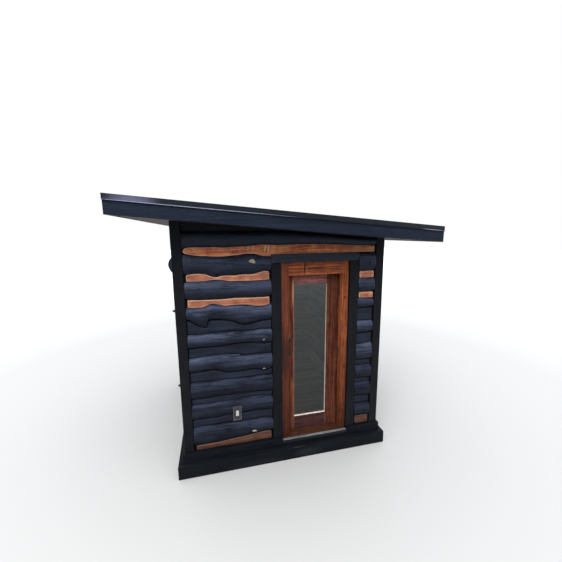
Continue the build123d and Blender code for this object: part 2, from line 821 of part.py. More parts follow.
def trim_profile(edge, out, top):
    """Edge trim's face and kicked lip, from a fascia's face outwards: out is 1 or -1."""
    foot = trim_top - trim_fall
    face = edge + out * trim_thickness
    lip = face + out * trim_lip
    return [
        (edge, top),
        (edge, foot),
        (lip, foot),
        (lip, foot + trim_thickness),
        (face, foot + trim_lip_fall),
        (face, top),
    ]


rake_start = fascia_x0 - trim_thickness - trim_lip
rake_fall, rake_length = along_roof(rake_start, eave_edge_x)
with BuildPart() as rake_trims:
    with BuildSketch(roof_plane(rake_start)):
        for edge, out in ((fascia_y0, -1), (fascia_y1, 1)):
            Polygon(*trim_profile(edge, out, trim_top))
            inner = edge - out * (trim_top_width - trim_thickness)
            Polygon(*box_outline(edge, inner, rib_top, trim_top))
    extrude(amount=rake_length, dir=rake_fall)
save(rake_trims, "rake_trims")

with BuildPart() as eave_trims:
    with BuildSketch(front_plane(fascia_y1)):
        for edge, out, top in ((fascia_x0, -1, rib_top), (fascia_x1, 1, roof_deck_top)):
            Polygon(*[roof_point(x, height) for x, height in trim_profile(edge, out, top)])
    extrude(amount=fascia_y1 - fascia_y0)
    with BuildSketch(front_plane(-rake_trim_inner_y)):
        outer = fascia_x0 - trim_thickness
        inner = outer + trim_top_width
        Polygon(
            roof_point(outer, rib_top),
            roof_point(inner, rib_top),
            roof_point(inner, trim_top),
            roof_point(outer, trim_top),
        )
    extrude(amount=-2 * rake_trim_inner_y)
save(eave_trims, "eave_trims")
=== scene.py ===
import logging
import math
from collections.abc import Callable, Iterable
from dataclasses import dataclass
from enum import Enum

import bmesh
import bpy
from mathutils import Euler, Matrix, Vector, noise


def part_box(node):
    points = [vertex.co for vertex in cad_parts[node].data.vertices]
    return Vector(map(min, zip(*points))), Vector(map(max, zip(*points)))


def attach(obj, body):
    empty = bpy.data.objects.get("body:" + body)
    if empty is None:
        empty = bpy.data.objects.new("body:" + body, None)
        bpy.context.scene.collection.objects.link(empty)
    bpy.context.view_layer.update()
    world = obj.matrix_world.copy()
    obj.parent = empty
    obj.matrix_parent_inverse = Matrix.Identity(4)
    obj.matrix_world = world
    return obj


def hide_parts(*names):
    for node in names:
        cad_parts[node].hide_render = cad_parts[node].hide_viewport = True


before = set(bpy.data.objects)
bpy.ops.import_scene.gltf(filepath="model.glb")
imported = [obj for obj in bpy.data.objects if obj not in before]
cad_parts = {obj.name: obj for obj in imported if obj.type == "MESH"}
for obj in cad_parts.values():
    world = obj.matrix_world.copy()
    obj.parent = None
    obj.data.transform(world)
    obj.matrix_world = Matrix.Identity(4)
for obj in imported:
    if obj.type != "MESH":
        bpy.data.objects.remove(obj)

log = logging.getLogger("sauna")
MM = 0.001
Colour = tuple[float, float, float]
Place = tuple[float, float, float]
Point = tuple[float, float]
Head = tuple[int, float, float, float]  # sides, radius at the foot and at the top, height
Socket = bpy.types.NodeSocket


class Grain(Enum):
    """Direction in which the grain of a board runs."""

    ACROSS = 0
    DEEP = 1
    UPRIGHT = 2


class Body(Enum):
    """Rigid body that a piece moves with."""

    CABIN = "cabin"
    LEAF = "door_leaf"


def linear(red: int, green: int, blue: int) -> Colour:
    """Turn a screen colour into a linear one.

    Args:
        red: red from 0 to 255.
        green: green from 0 to 255.
        blue: blue from 0 to 255.

    Returns:
        The linear colour.
    """
    shares = [value / 255 for value in (red, green, blue)]
    return tuple(s / 12.92 if s <= 0.04045 else ((s + 0.055) / 1.055) ** 2.4 for s in shares)


class Nodes:
    """Node tree of a finish or of the sky, filled one call at a time."""

    def __init__(self, tree: bpy.types.NodeTree) -> None:
        """Start with an empty tree.

        Args:
            tree: the tree that the nodes go into.
        """
        self.tree = tree
        tree.nodes.clear()

    def node(self, kind: str, links: dict | None = None, **settings: object) -> bpy.types.Node:
        """Add a node.

        Args:
            kind: Blender's name of the node type.
            links: inputs by name or number, each a socket to link or a value to set.
            settings: properties of the node itself.

        Returns:
            The new node.
        """
        made = self.tree.nodes.new(kind)
        for key, value in settings.items():
            setattr(made, key, value)
        for key, value in (links or {}).items():
            if isinstance(value, Socket):
                self.tree.links.new(value, made.inputs[key])
            else:
                made.inputs[key].default_value = value
        return made

    def ramp(self, factor: Socket, *stops: tuple[float, Colour]) -> Socket:
        """Colour ramp.

        Args:
            factor: what is looked up.
            stops: place and colour of each stop.

        Returns:
            The colour socket.
        """
        made = self.node("ShaderNodeValToRGB", {0: factor})
        elements = made.color_ramp.elements
        while len(elements) < len(stops):
            elements.new(0.5)
        for element, (position, colour) in zip(elements, stops):
            element.position = position
            element.color = (*colour, 1.0)
        return made.outputs[0]

    def sums(self, kind: str, first: object, second: object = 0.0) -> Socket:
        """Math node.

        Args:
            kind: operation, such as MULTIPLY.
            first: first value or socket.
            second: second value or socket.

        Returns:
            The result socket.
        """
        return self.node("ShaderNodeMath", {0: first, 1: second}, operation=kind).outputs[0]

    def backdrop(self) -> Socket:
        """Share of the white background that a ray sees.

        Returns:
            The value socket: 1 for camera, transmission and glossy rays, but 0 once a ray has
            left a dull surface, so that the white lights nothing.
        """
        path = self.node("ShaderNodeLightPath").outputs
        seen = self.sums("MAXIMUM", path["Is Camera Ray"], path["Is Transmission Ray"])
        seen = self.sums("MAXIMUM", seen, path["Is Glossy Ray"])
        return self.sums("MULTIPLY", seen, self.sums("LESS_THAN", path["Diffuse Depth"], 0.5))


class Shader(Nodes):
    """Nodes of one material."""

    def __init__(self, name: str) -> None:
        """Start a material with a plain surface.

        Args:
            name: name of the material.
        """
        self.material = bpy.data.materials.new(name)
        self.material.use_nodes = True
        super().__init__(self.material.node_tree)
        self.surface = self.node("ShaderNodeBsdfPrincipled")
        self.node("ShaderNodeOutputMaterial", {"Surface": self.surface.outputs[0]})
        self.place = self.node("ShaderNodeTexCoord").outputs["Object"]

    def noise(
        self, vector: Socket, scale: float, detail: float = 4.0, rough: float = 0.55,
        twist: float = 0.0,
    ) -> Socket:
        """Fractal noise on given coordinates.

        Args:
            vector: coordinates.
            scale: pattern scale.
            detail: number of octaves.
            rough: weight of the finer octaves.
            twist: distortion.

        Returns:
            The factor socket, mostly between 0.3 and 0.7.
        """
        links = {"Vector": vector, "Scale": scale, "Detail": detail, "Roughness": rough,
                 "Distortion": twist}
        return self.node("ShaderNodeTexNoise", links).outputs[0]

    def grained(self, grain: Grain, along: float, cross: float, **settings: float) -> Socket:
        """Fractal noise drawn out along the grain.

        Args:
            grain: direction of the grain.
            along: how many pattern units a metre has along the grain.
            cross: how many it has across the grain.
            settings: detail, rough and twist of the noise.

        Returns:
            The factor socket.
        """
        scale = [cross, cross, cross]
        scale[grain.value] = along
        mapping = self.node("ShaderNodeMapping", {"Vector": self.place, "Scale": scale})
        return self.noise(mapping.outputs[0], 1.0, **settings)

    def span(
        self, value: Socket, low: float, high: float, new_low: float = 0.0, new_high: float = 1.0
    ) -> Socket:
        """Stretch a range of values onto another, held at its ends.

        Args:
            value: the values.
            low: start of the range read.
            high: end of the range read.
            new_low: what low becomes.
            new_high: what high becomes.

        Returns:
            The resulting value socket.
        """
        links = {0: value, 1: low, 2: high, 3: new_low, 4: new_high}
        return self.node("ShaderNodeMapRange", links).outputs[0]

    def weighed(self, *parts: tuple[Socket, float]) -> Socket:
        """Weighted mean of several values.

        Args:
            parts: each value's socket and its weight.

        Returns:
            The mean's socket.
        """
        whole = sum(weight for _, weight in parts)
        total = 0.0
        for socket, weight in parts:
            links = {0: socket, 1: weight / whole, 2: total}
            total = self.node("ShaderNodeMath", links, operation="MULTIPLY_ADD").outputs[0]
        return total

    def blend(self, share: object, first: object, second: object) -> Socket:
        """Mix two colours.

        Args:
            share: share of the second colour.
            first: first colour or socket.
            second: second colour or socket.

        Returns:
            The colour socket.
        """
        links = {0: share}
        for number, colour in ((6, first), (7, second)):
            links[number] = colour if isinstance(colour, Socket) else (*colour, 1.0)
        return self.node("ShaderNodeMix", links, data_type="RGBA").outputs[2]

    def toned(self, colour: Socket) -> Socket:
        """Lighten or darken by the tone attribute, where a piece has one; on some pieces it carries
        painted light and shade besides their own tone.

        Args:
            colour: colour before.

        Returns:
            The colour socket.
        """
        tone = self.node("ShaderNodeAttribute", attribute_name="tone").outputs["Fac"]
        links = {0: colour, "Scale": self.sums("ADD", tone, 1.0)}
        return self.node("ShaderNodeVectorMath", links, operation="SCALE").outputs[0]

    def lay_stains_and_painted_light(self, stains_and_painted_light: tuple["Stain", ...], colour: Socket, ragged: Socket) -> Socket:
        """Lay oval patches over a colour: real stains, and painted highlights, reflections and
        shade where a finish lists them.

        Args:
            stains_and_painted_light: the patches.
            colour: colour before.
            ragged: noise that breaks each stain's rim.

        Returns:
            The colour socket.
        """
        for stain in stains_and_painted_light:
            mapping = self.node("ShaderNodeMapping", {
                "Vector": self.place, "Location": (stain.x, stain.y, stain.z),
                "Rotation": (0, stain.lean, 0), "Scale": (stain.width, stain.deep, stain.height),
            }, vector_type="TEXTURE")
            away = self.node("ShaderNodeVectorMath", {0: mapping.outputs[0]}, operation="LENGTH")
            reach = self.weighed((away.outputs["Value"], 1.0), (ragged, 0.6))
            colour = self.blend(self.span(reach, 0.45, 0.85, stain.share, 0.0), colour,
                                stain.colour)
        return colour

    def relief(
        self, height: Socket, strength: float, depth: float, under: Socket | None = None
    ) -> Socket:
        """Bump from a height.

        Args:
            height: height socket.
            strength: how strongly it shows.
            depth: real depth in metres.
            under: normal of a coarser bump below this one.

        Returns:
            The normal socket.
        """
        links = {"Height": height, "Strength": strength, "Distance": depth}
        if under is not None:
            links["Normal"] = under
        return self.node("ShaderNodeBump", links).outputs[0]

    def dress(self, **inputs: object) -> bpy.types.Material:
        """Set or link the surface's inputs and finish the material.

        Args:
            inputs: input names with underscores for spaces, and their values or sockets.

        Returns:
            The material.
        """
        for key, value in inputs.items():
            place = self.surface.inputs[key.replace("_", " ")]
            if isinstance(value, Socket):
                self.tree.links.new(value, place)
            else:
                place.default_value = (*value, 1.0) if isinstance(value, tuple) else value
        return self.material


@dataclass(frozen=True)
class Stain:
    """Soft oval patch of another colour on upright faces, on all of them unless it is shallow: a
    real stain, or painted light such as a painted highlight, reflection or shade.
    """

    x: float
    z: float
    width: float
    height: float
    colour: Colour
    share: float = 0.8
    lean: float = 0.0
    y: float = 0.0
    deep: float = 1000.0


@dataclass(frozen=True)
class BlackStain:
    """Dark stain on peeled or sawn wood, with a faint cold sheen."""

    name: str
    deep: Colour = linear(4, 4, 6)
    raised: Colour = linear(38, 42, 55)
    gloss: float = 0.22
    dull: float = 0.46
    sheen: float = 0.22
    tint: Colour = (0.58, 0.68, 1.0)
    relief_depth: float = 0.0012
    stains_and_painted_light: tuple[Stain, ...] = ()

    def material(self, grain: Grain) -> bpy.types.Material:
        """Make the stained wood for one grain direction.

        Args:
            grain: direction of the grain.

        Returns:
            The material.
        """
        shade = Shader(f"{self.name}_{grain.name.lower()}")
        broad = shade.grained(grain, 2.2, 24.0, detail=5.0, rough=0.6, twist=1.2)
        fine = shade.grained(grain, 7.0, 210.0, rough=0.65, twist=0.4)
        lumps = shade.grained(grain, 14.0, 46.0, detail=3.0, rough=0.6, twist=0.6)
        patch = shade.noise(shade.place, 5.0)
        tone = shade.weighed((broad, 1.0), (fine, 0.7), (patch, 0.5))
        colour = shade.toned(shade.ramp(tone, (0.40, self.deep), (0.60, self.raised)))
        worn = shade.weighed((broad, 1.0), (fine, 0.8))
        coarse = shade.relief(broad, 0.8, self.relief_depth * 3.0)
        lumpy = shade.relief(lumps, 0.9, self.relief_depth * 2.2, coarse)
        return shade.dress(
            Base_Color=shade.lay_stains_and_painted_light(self.stains_and_painted_light, colour, fine),
            Roughness=shade.span(worn, 0.38, 0.62, self.gloss, self.dull),
            Specular_IOR_Level=self.sheen,
            Specular_Tint=self.tint,
            Normal=shade.relief(fine, 0.9, self.relief_depth, lumpy),
        )


@dataclass(frozen=True)
class NaturalWood:
    """Oiled wood with streaks, and a paler rim along live edges where it has that colour."""

    name: str
    dark: Colour
    mid: Colour
    light: Colour
    rim: Colour | None = None
    streaks: float = 22.0
    gloss: float = 0.45
    coat: float = 0.05
    sheen: float = 0.30
    relief_depth: float = 0.0008
    contrast: float = 0.13
    crisp: float = 0.55
    mottle: float = 0.35
    stains_and_painted_light: tuple[Stain, ...] = ()

    def material(self, grain: Grain) -> bpy.types.Material:
        """Make the wood for one grain direction.

        Args:
            grain: direction of the grain.

        Returns:
            The material.
        """
        shade = Shader(f"{self.name}_{grain.name.lower()}")
        broad = shade.grained(grain, 1.6, self.streaks, rough=0.5, twist=1.2)
        fine = shade.grained(grain, 8.0, 420.0, detail=3.0, rough=0.6)
        patch = shade.noise(shade.place, 16.0, rough=0.6)
        tone = shade.weighed((broad, 1.0), (fine, self.crisp), (patch, self.mottle))
        low, high = 0.5 - self.contrast, 0.5 + self.contrast
        colour = shade.ramp(tone, (low, self.dark), (0.5, self.mid), (high, self.light))
        colour = shade.lay_stains_and_painted_light(self.stains_and_painted_light, colour, fine)
        if self.rim is not None:
            edge = shade.node("ShaderNodeAttribute", attribute_name="rim").outputs["Fac"]
            share = shade.span(shade.weighed((edge, 1.0), (fine, 0.35)), 0.42, 0.90, 0.0, 0.85)
            colour = shade.blend(share, colour, self.rim)
        coarse = shade.relief(broad, 0.35, self.relief_depth * 2)
        return shade.dress(
            Base_Color=shade.toned(colour),
            Roughness=shade.span(fine, 0.3, 0.7, self.gloss, self.gloss + 0.18),
            Specular_IOR_Level=self.sheen,
            Coat_Weight=self.coat,
            Coat_Roughness=0.3,
            Normal=shade.relief(fine, 0.4, self.relief_depth, coarse),
        )


@dataclass(frozen=True)
class WornThreshold:
    """Pale worn top of the threshold, over its black front and brown inside."""

    name: str = "worn_threshold"
    pale: Colour = linear(128, 126, 128)
    worn: Colour = linear(74, 70, 72)
    black: Colour = linear(16, 18, 22)
    brown: Colour = linear(54, 34, 26)
    front: float = -0.9322
    top: float = 0.1765
    bare: float = -0.912

    def material(self) -> bpy.types.Material:
        """Make the threshold's finish.

        Returns:
            The material.
        """
        shade = Shader(self.name)
        axes = shade.node("ShaderNodeSeparateXYZ", {0: shade.place}).outputs
        streaks = shade.grained(Grain.ACROSS, 5.0, 90.0, detail=5.0, rough=0.6)
        colour = shade.ramp(streaks, (0.38, self.worn), (0.6, self.pale))
        inside = shade.span(axes[1], self.bare, self.bare + 0.004)
        colour = shade.blend(inside, colour, self.brown)
        ahead = shade.sums("LESS_THAN", axes[1], self.front)
        low = shade.sums("LESS_THAN", axes[2], self.top)
        colour = shade.blend(shade.sums("MULTIPLY", ahead, low), colour, self.black)
        return shade.dress(Base_Color=colour, Roughness=0.6, Specular_IOR_Level=0.3,
                           Normal=shade.relief(streaks, 0.3, 0.0008))


@dataclass(frozen=True)
class Planed:
    """Planed boards with a groove line between them, painted black outside the room; soffit boards
    instead get near-black painted shade under the front and back eaves.
    """

    name: str = "lining_boards"
    light: Colour = linear(196, 150, 108)
    dark: Colour = linear(150, 104, 68)
    board: float = 0.09
    inner_reach: float = 0.80
    eaves: float = 0.0
    groove: Colour = (0.05, 0.03, 0.02)
    black_paint_and_painted_shade: Colour = (0.012, 0.012, 0.014)

    def material(self, grain: Grain, across: Grain) -> bpy.types.Material:
        """Make the boards.

        Args:
            grain: direction of the grain.
            across: direction in which one board follows another.

        Returns:
            The material.
        """
        shade = Shader(f"{self.name}_{grain.name.lower()}_{across.name.lower()}")
        axes = shade.node("ShaderNodeSeparateXYZ", {0: shade.place}).outputs
        counted = shade.sums("DIVIDE", axes[across.value], self.board)
        within = shade.sums("FRACT", counted)
        off = shade.sums("ABSOLUTE", shade.sums("SUBTRACT", within, 0.5))
        joint = shade.span(off, 0.47, 0.495)
        number = shade.node("ShaderNodeTexWhiteNoise", {"W": shade.sums("FLOOR", counted)},
                            noise_dimensions="1D").outputs[0]
        broad = shade.grained(grain, 1.5, 30.0, rough=0.5, twist=1.0)
        tone = shade.weighed((number, 0.4), (broad, 1.0))
        colour = shade.ramp(tone, (0.35, self.dark), (0.65, self.light))
        colour = shade.blend(joint, colour, self.groove)
        width, depth = (shade.sums("ABSOLUTE", axes[i]) for i in (0, 1))
        # painted shade: boards under the front and back eaves, ahead of the walls, turn near-black
        if self.eaves:
            ahead = shade.sums("GREATER_THAN", depth, self.eaves)
            outside = shade.sums("MULTIPLY", ahead, shade.sums("LESS_THAN", width, self.eaves))
        else:
            away = shade.sums("MAXIMUM", width, depth)
            outside = shade.sums("GREATER_THAN", away, self.inner_reach)
        flat = shade.sums("SUBTRACT", 1.0, joint)
        return shade.dress(Base_Color=shade.blend(outside, colour, self.black_paint_and_painted_shade), Roughness=0.6,
                           Specular_IOR_Level=0.05, Normal=shade.relief(flat, 0.6, 0.002))


@dataclass(frozen=True)
class PaintedMetal:
    """Smooth painted metal or plastic with faint waves and dust."""

    name: str
    colour: Colour
    dust: Colour
    gloss: float = 0.28
    coat: float = 0.5
    waves: float = 0.0006
    tint: Colour = (0.85, 0.92, 1.0)
    sheen: float = 0.5
    stains_and_painted_light: tuple[Stain, ...] = ()

    def material(self) -> bpy.types.Material:
        """Make the metal.

        Returns:
            The material.
        """
        shade = Shader(self.name)
        broad = shade.noise(shade.place, 3.0, 3.0)
        fine = shade.noise(shade.place, 90.0, rough=0.65)
        dusty = shade.span(shade.sums("ADD", broad, fine), 0.85, 1.35, 0.0, 0.5)
        colour = shade.blend(dusty, self.colour, self.dust)
        return shade.dress(
            Base_Color=shade.lay_stains_and_painted_light(self.stains_and_painted_light, colour, fine),
            Roughness=shade.span(fine, 0.3, 0.7, self.gloss, self.gloss + 0.2),
            Coat_Weight=self.coat,
            Coat_Roughness=0.15,
            Specular_IOR_Level=self.sheen,
            Specular_Tint=self.tint,
            Normal=shade.relief(broad, 0.3, self.waves),
        )


@dataclass(frozen=True)
class DarkGlass:
    """Clear pane in front of a dark room."""

    name: str = "door_pane"
    tint: Colour = (0.38, 0.42, 0.40)

    def material(self) -> bpy.types.Material:
        """Make the glass.

        Returns:
            The material.
        """
        shade = Shader(self.name)
        wave = shade.noise(shade.place, 2.5, 2.0)
        smear = shade.grained(Grain.UPRIGHT, 5.0, 14.0)
        return shade.dress(
            Base_Color=self.tint,
            Roughness=shade.span(smear, 0.4, 0.75, 0.01, 0.09),
            IOR=1.5,
            Specular_IOR_Level=0.12,
            Transmission_Weight=1.0,
            Specular_Tint=(0.9, 0.95, 0.95),
            Normal=shade.relief(wave, 0.12, 0.002),
        )


@dataclass(frozen=True)
class EndGrain:
    """Pale sawn end of a knot, with rings round its middle and a dark rim."""

    name: str = "cut_knot"
    pale: Colour = linear(214, 202, 186)
    ring: Colour = linear(158, 132, 104)
    bark: Colour = (0.012, 0.010, 0.009)

    def material(self) -> bpy.types.Material:
        """Make the end grain.

        Returns:
            The material.
        """
        shade = Shader(self.name)
        away = shade.node("ShaderNodeAttribute", attribute_name="ring").outputs["Fac"]
        spots = shade.noise(shade.place, 120.0, 3.0)
        rings = shade.sums("SINE", shade.sums("MULTIPLY", away, 26.0))
        colour = shade.blend(shade.span(rings, -1.0, 1.0, 0.0, 0.35), self.pale, self.ring)
        colour = shade.blend(shade.span(spots, 0.5, 0.75, 0.0, 0.5), colour, self.ring)
        colour = shade.blend(shade.span(away, 0.84, 0.96, 0.0, 0.97), colour, self.bark)
        return shade.dress(Base_Color=shade.toned(colour), Roughness=0.75,
                           Specular_IOR_Level=0.05)


FACE = 0.877
HALF = 0.915
LEDGE = 0.198
PANEL_END = 0.782
PANEL_START = 1.586
SLOPE = 1 / 12
SOFFIT_RISE = 1.972
DOOR_X = 0.27
DOOR_ACROSS = 1.0
LYING = Matrix.Rotation(math.pi / 2, 4, "X")


@dataclass(frozen=True)
class Wall:
    """Outer face of a wall, seen from outside: across to the right, up from the ledge, then out."""

    name: str
    origin: Place
    across: Place
    outward: Place
    grain: Grain
    start: float
    end: float
    turned: bool

    def matrix(self) -> Matrix:
        """Matrix from the wall's own directions to the cabin's."""
        columns = Matrix((self.across, (0.0, 0.0, 1.0), self.outward)).transposed().to_4x4()
        return Matrix.Translation(self.origin) @ columns

    def stations(self) -> list[float]:
        """Places across, in millimetres, where a live edge has its eight heights.

        Returns:
            The places, closer together left of the door on the front.
        """
        if self.name == "front":
            return [80, 255.5, 431, 606.5, 782, 1184, 1586, 1750]
        return [(self.start + i * (self.end - self.start) / 7) / MM for i in range(8)]


FRONT = Wall("front", (-HALF, -FACE, LEDGE), (1, 0, 0), (0, -1, 0), Grain.ACROSS, 0.080, 1.750,
             False)
BACK = Wall("back", (HALF, FACE, LEDGE), (-1, 0, 0), (0, 1, 0), Grain.ACROSS, 0.080, 1.750, True)
LEFT = Wall("left", (-FACE, HALF, LEDGE), (0, -1, 0), (-1, 0, 0), Grain.DEEP, 0.118, 1.712, False)
RIGHT = Wall("right", (FACE, -HALF, LEDGE), (0, 1, 0), (1, 0, 0), Grain.DEEP, 0.118, 1.712, True)


def soffit(x: float) -> float:
    """Height of the soffit's underside at x."""
    return LEDGE + SOFFIT_RISE - SLOPE * (x + HALF)


def through(points: list[Point], x: float) -> float:
    """Read a smooth line that passes through points.

    Args:
        points: places along and their heights, in order.
        x: where to read.

    Returns:
        The height there.
    """
    if x <= points[0][0]:
        return points[0][1]
    for i in range(len(points) - 1):
        (x0, y0), (x1, y1) = points[i], points[i + 1]
        if x <= x1:
            before = points[max(i - 1, 0)]
            after = points[min(i + 2, len(points) - 1)]
            slope0 = (y1 - before[1]) / (x1 - before[0])
            slope1 = (after[1] - y0) / (after[0] - x0)
            t, span = (x - x0) / (x1 - x0), x1 - x0
            rise = (1 + 2 * t) * (1 - t) ** 2 * y0 + t * t * (3 - 2 * t) * y1
            return rise + span * (t * (1 - t) ** 2 * slope0 - t * t * (1 - t) * slope1)
    return points[-1][1]


@dataclass(frozen=True)
class LiveEdge:
    """Line between two courses: eight heights for any wall, and a finer one left of the door."""

    eight: tuple[int, ...]
    fine: tuple[tuple[int, int], ...] = ()

    def height(self, wall: Wall, across: float) -> float:
        """Height of the edge above the ledge.

        Args:
            wall: the wall it is on.
            across: place across the wall.

        Returns:
            The height, with a small natural wobble.
        """
        if wall is FRONT and self.fine and across < DOOR_ACROSS:
            points = list(self.fine)
        else:
            heights = self.eight[::-1] if wall.turned else self.eight
            points = list(zip(wall.stations(), heights))
        seed = self.eight[0] * 0.37 + len(wall.name)
        wobble = sum(noise.noise(Vector((across * pace, seed, shift)))
                     for pace, shift in ((24, 0), (8, 5)))
        return (through(points, across / MM) + 1.6 * wobble) * MM


EDGES: dict[str, LiveEdge] = {
    "ledge": LiveEdge((3,) * 8, ((80, 3), (782, 3))),
    "h_foot": LiveEdge(
        (45, 50, 60, 68, 76, 81, 86, 83),
        ((84, 45), (189, 47), (294, 50), (399, 59), (504, 64), (581, 71), (644, 77), (721, 82),
         (777, 77)),
    ),
    "h_top": LiveEdge(
        (225, 224, 225, 226, 214, 218, 222, 226),
        ((84, 220), (140, 227), (273, 224), (399, 225), (511, 222), (609, 218), (714, 218),
         (777, 210)),
    ),
    "g_foot": LiveEdge(
        (300, 294, 288, 298, 294, 298, 302, 298),
        ((84, 290), (189, 294), (273, 287), (371, 301), (504, 297), (644, 301), (777, 297)),
    ),
    "g_top": LiveEdge(
        (436, 439, 438, 440, 436, 440, 441, 437),
        ((84, 433), (224, 430), (329, 434), (427, 431), (539, 440), (679, 440), (777, 430)),
    ),
    "f_foot": LiveEdge(
        (484, 482, 487, 480, 478, 481, 484, 480),
        ((84, 482), (259, 483), (371, 486), (539, 488), (679, 484), (777, 475)),
    ),
    "f_top": LiveEdge(
        (640, 636, 634, 633, 640, 632, 622, 618),
        ((84, 636), (189, 633), (280, 631), (371, 634), (469, 631), (574, 628), (644, 633),
         (714, 637), (777, 636)),
    ),
    "e_foot": LiveEdge(
        (720, 720, 693, 690, 698, 684, 672, 668),
        ((84, 724), (189, 728), (280, 731), (315, 724), (357, 703), (399, 696), (469, 694),
         (539, 698), (609, 699), (679, 689), (721, 678), (777, 692)),
    ),
    "e_top": LiveEdge(
        (850, 857, 857, 838, 836, 830, 832, 846),
        ((84, 850), (154, 854), (224, 860), (294, 864), (371, 861), (455, 856), (511, 845),
         (574, 835), (679, 836), (777, 833)),
    ),
    "d_foot": LiveEdge(
        (940, 938, 944, 945, 930, 934, 938, 944),
        ((98, 937), (189, 940), (280, 936), (371, 938), (469, 947), (609, 944), (679, 933),
         (777, 931)),
    ),
    "d_top": LiveEdge(
        (1050, 1056, 1058, 1058, 1050, 1057, 1060, 1054),
        ((84, 1059), (189, 1054), (273, 1061), (371, 1058), (469, 1063), (581, 1055), (679, 1059),
         (777, 1055)),
    ),
    "c_foot": LiveEdge(
        (1152, 1120, 1158, 1112, 1140, 1162, 1180, 1184),
        ((84, 1178), (119, 1163), (140, 1146), (175, 1125), (212, 1112), (238, 1108), (247, 1132),
         (254, 1162), (280, 1170), (329, 1168), (378, 1163), (427, 1153), (469, 1139), (511, 1118),
         (553, 1109), (595, 1112), (637, 1121), (686, 1132), (735, 1137), (782, 1137)),
    ),
    "c_top": LiveEdge(
        (1284, 1300, 1283, 1273, 1272, 1277, 1279, 1276),
        ((84, 1284), (154, 1282), (210, 1282), (252, 1296), (287, 1307), (322, 1301), (357, 1293),
         (399, 1282), (455, 1284), (511, 1286), (567, 1282), (609, 1275), (651, 1266), (707, 1264),
         (749, 1271), (777, 1282)),
    ),
    "b_foot": LiveEdge(
        (1342, 1342, 1344, 1342, 1340, 1336, 1332, 1330),
        ((84, 1351), (154, 1346), (259, 1343), (371, 1341), (469, 1345), (574, 1343), (679, 1341),
         (777, 1343)),
    ),
    "b_top": LiveEdge(
        (1495, 1503, 1495, 1487, 1487, 1476, 1466, 1468),
        ((84, 1496), (175, 1496), (245, 1497), (287, 1503), (329, 1504), (371, 1500), (427, 1490),
         (511, 1485), (609, 1483), (707, 1485), (777, 1489)),
    ),
    "a_foot": LiveEdge(
        (1546, 1550, 1534, 1537, 1554, 1540, 1526, 1530),
        ((84, 1546), (133, 1557), (189, 1559), (245, 1553), (280, 1540), (308, 1529), (336, 1525),
         (364, 1533), (427, 1537), (483, 1534), (539, 1540), (644, 1540), (686, 1553), (728, 1561),
         (777, 1555)),
    ),
    "a_top": LiveEdge(
        (1700, 1690, 1692, 1702, 1686, 1694, 1702, 1702),
        ((84, 1722), (98, 1719), (140, 1709), (210, 1699), (259, 1697), (301, 1692), (371, 1690),
         (441, 1695), (525, 1702), (574, 1707), (644, 1707), (679, 1696), (721, 1686), (777, 1686)),
    ),
    "strip_top": LiveEdge(
        (1765, 1768, 1771, 1776, 1779, 1781, 1764, 1757),
        ((84, 1757), (119, 1768), (200, 1770), (294, 1769), (400, 1765), (497, 1769), (581, 1772),
         (651, 1779), (721, 1784), (800, 1779), (900, 1778), (1000, 1781)),
    ),
}


@dataclass(frozen=True)
class Mark:
    """Local swelling or dent on a course, in millimetres."""

    wall: Wall
    across: float
    up: float
    width: float
    height: float
    lift: float

    def at(self, across: float, up: float) -> float:
        """How far the mark moves the surface out at a place.

        Args:
            across: place across the wall.
            up: height above the ledge.

        Returns:
            The movement outwards.
        """
        x = (across / MM - self.across) / self.width
        y = (up / MM - self.up) / self.height
        return self.lift * MM * math.exp(-x * x - y * y) if abs(x) < 3 and abs(y) < 3 else 0.0


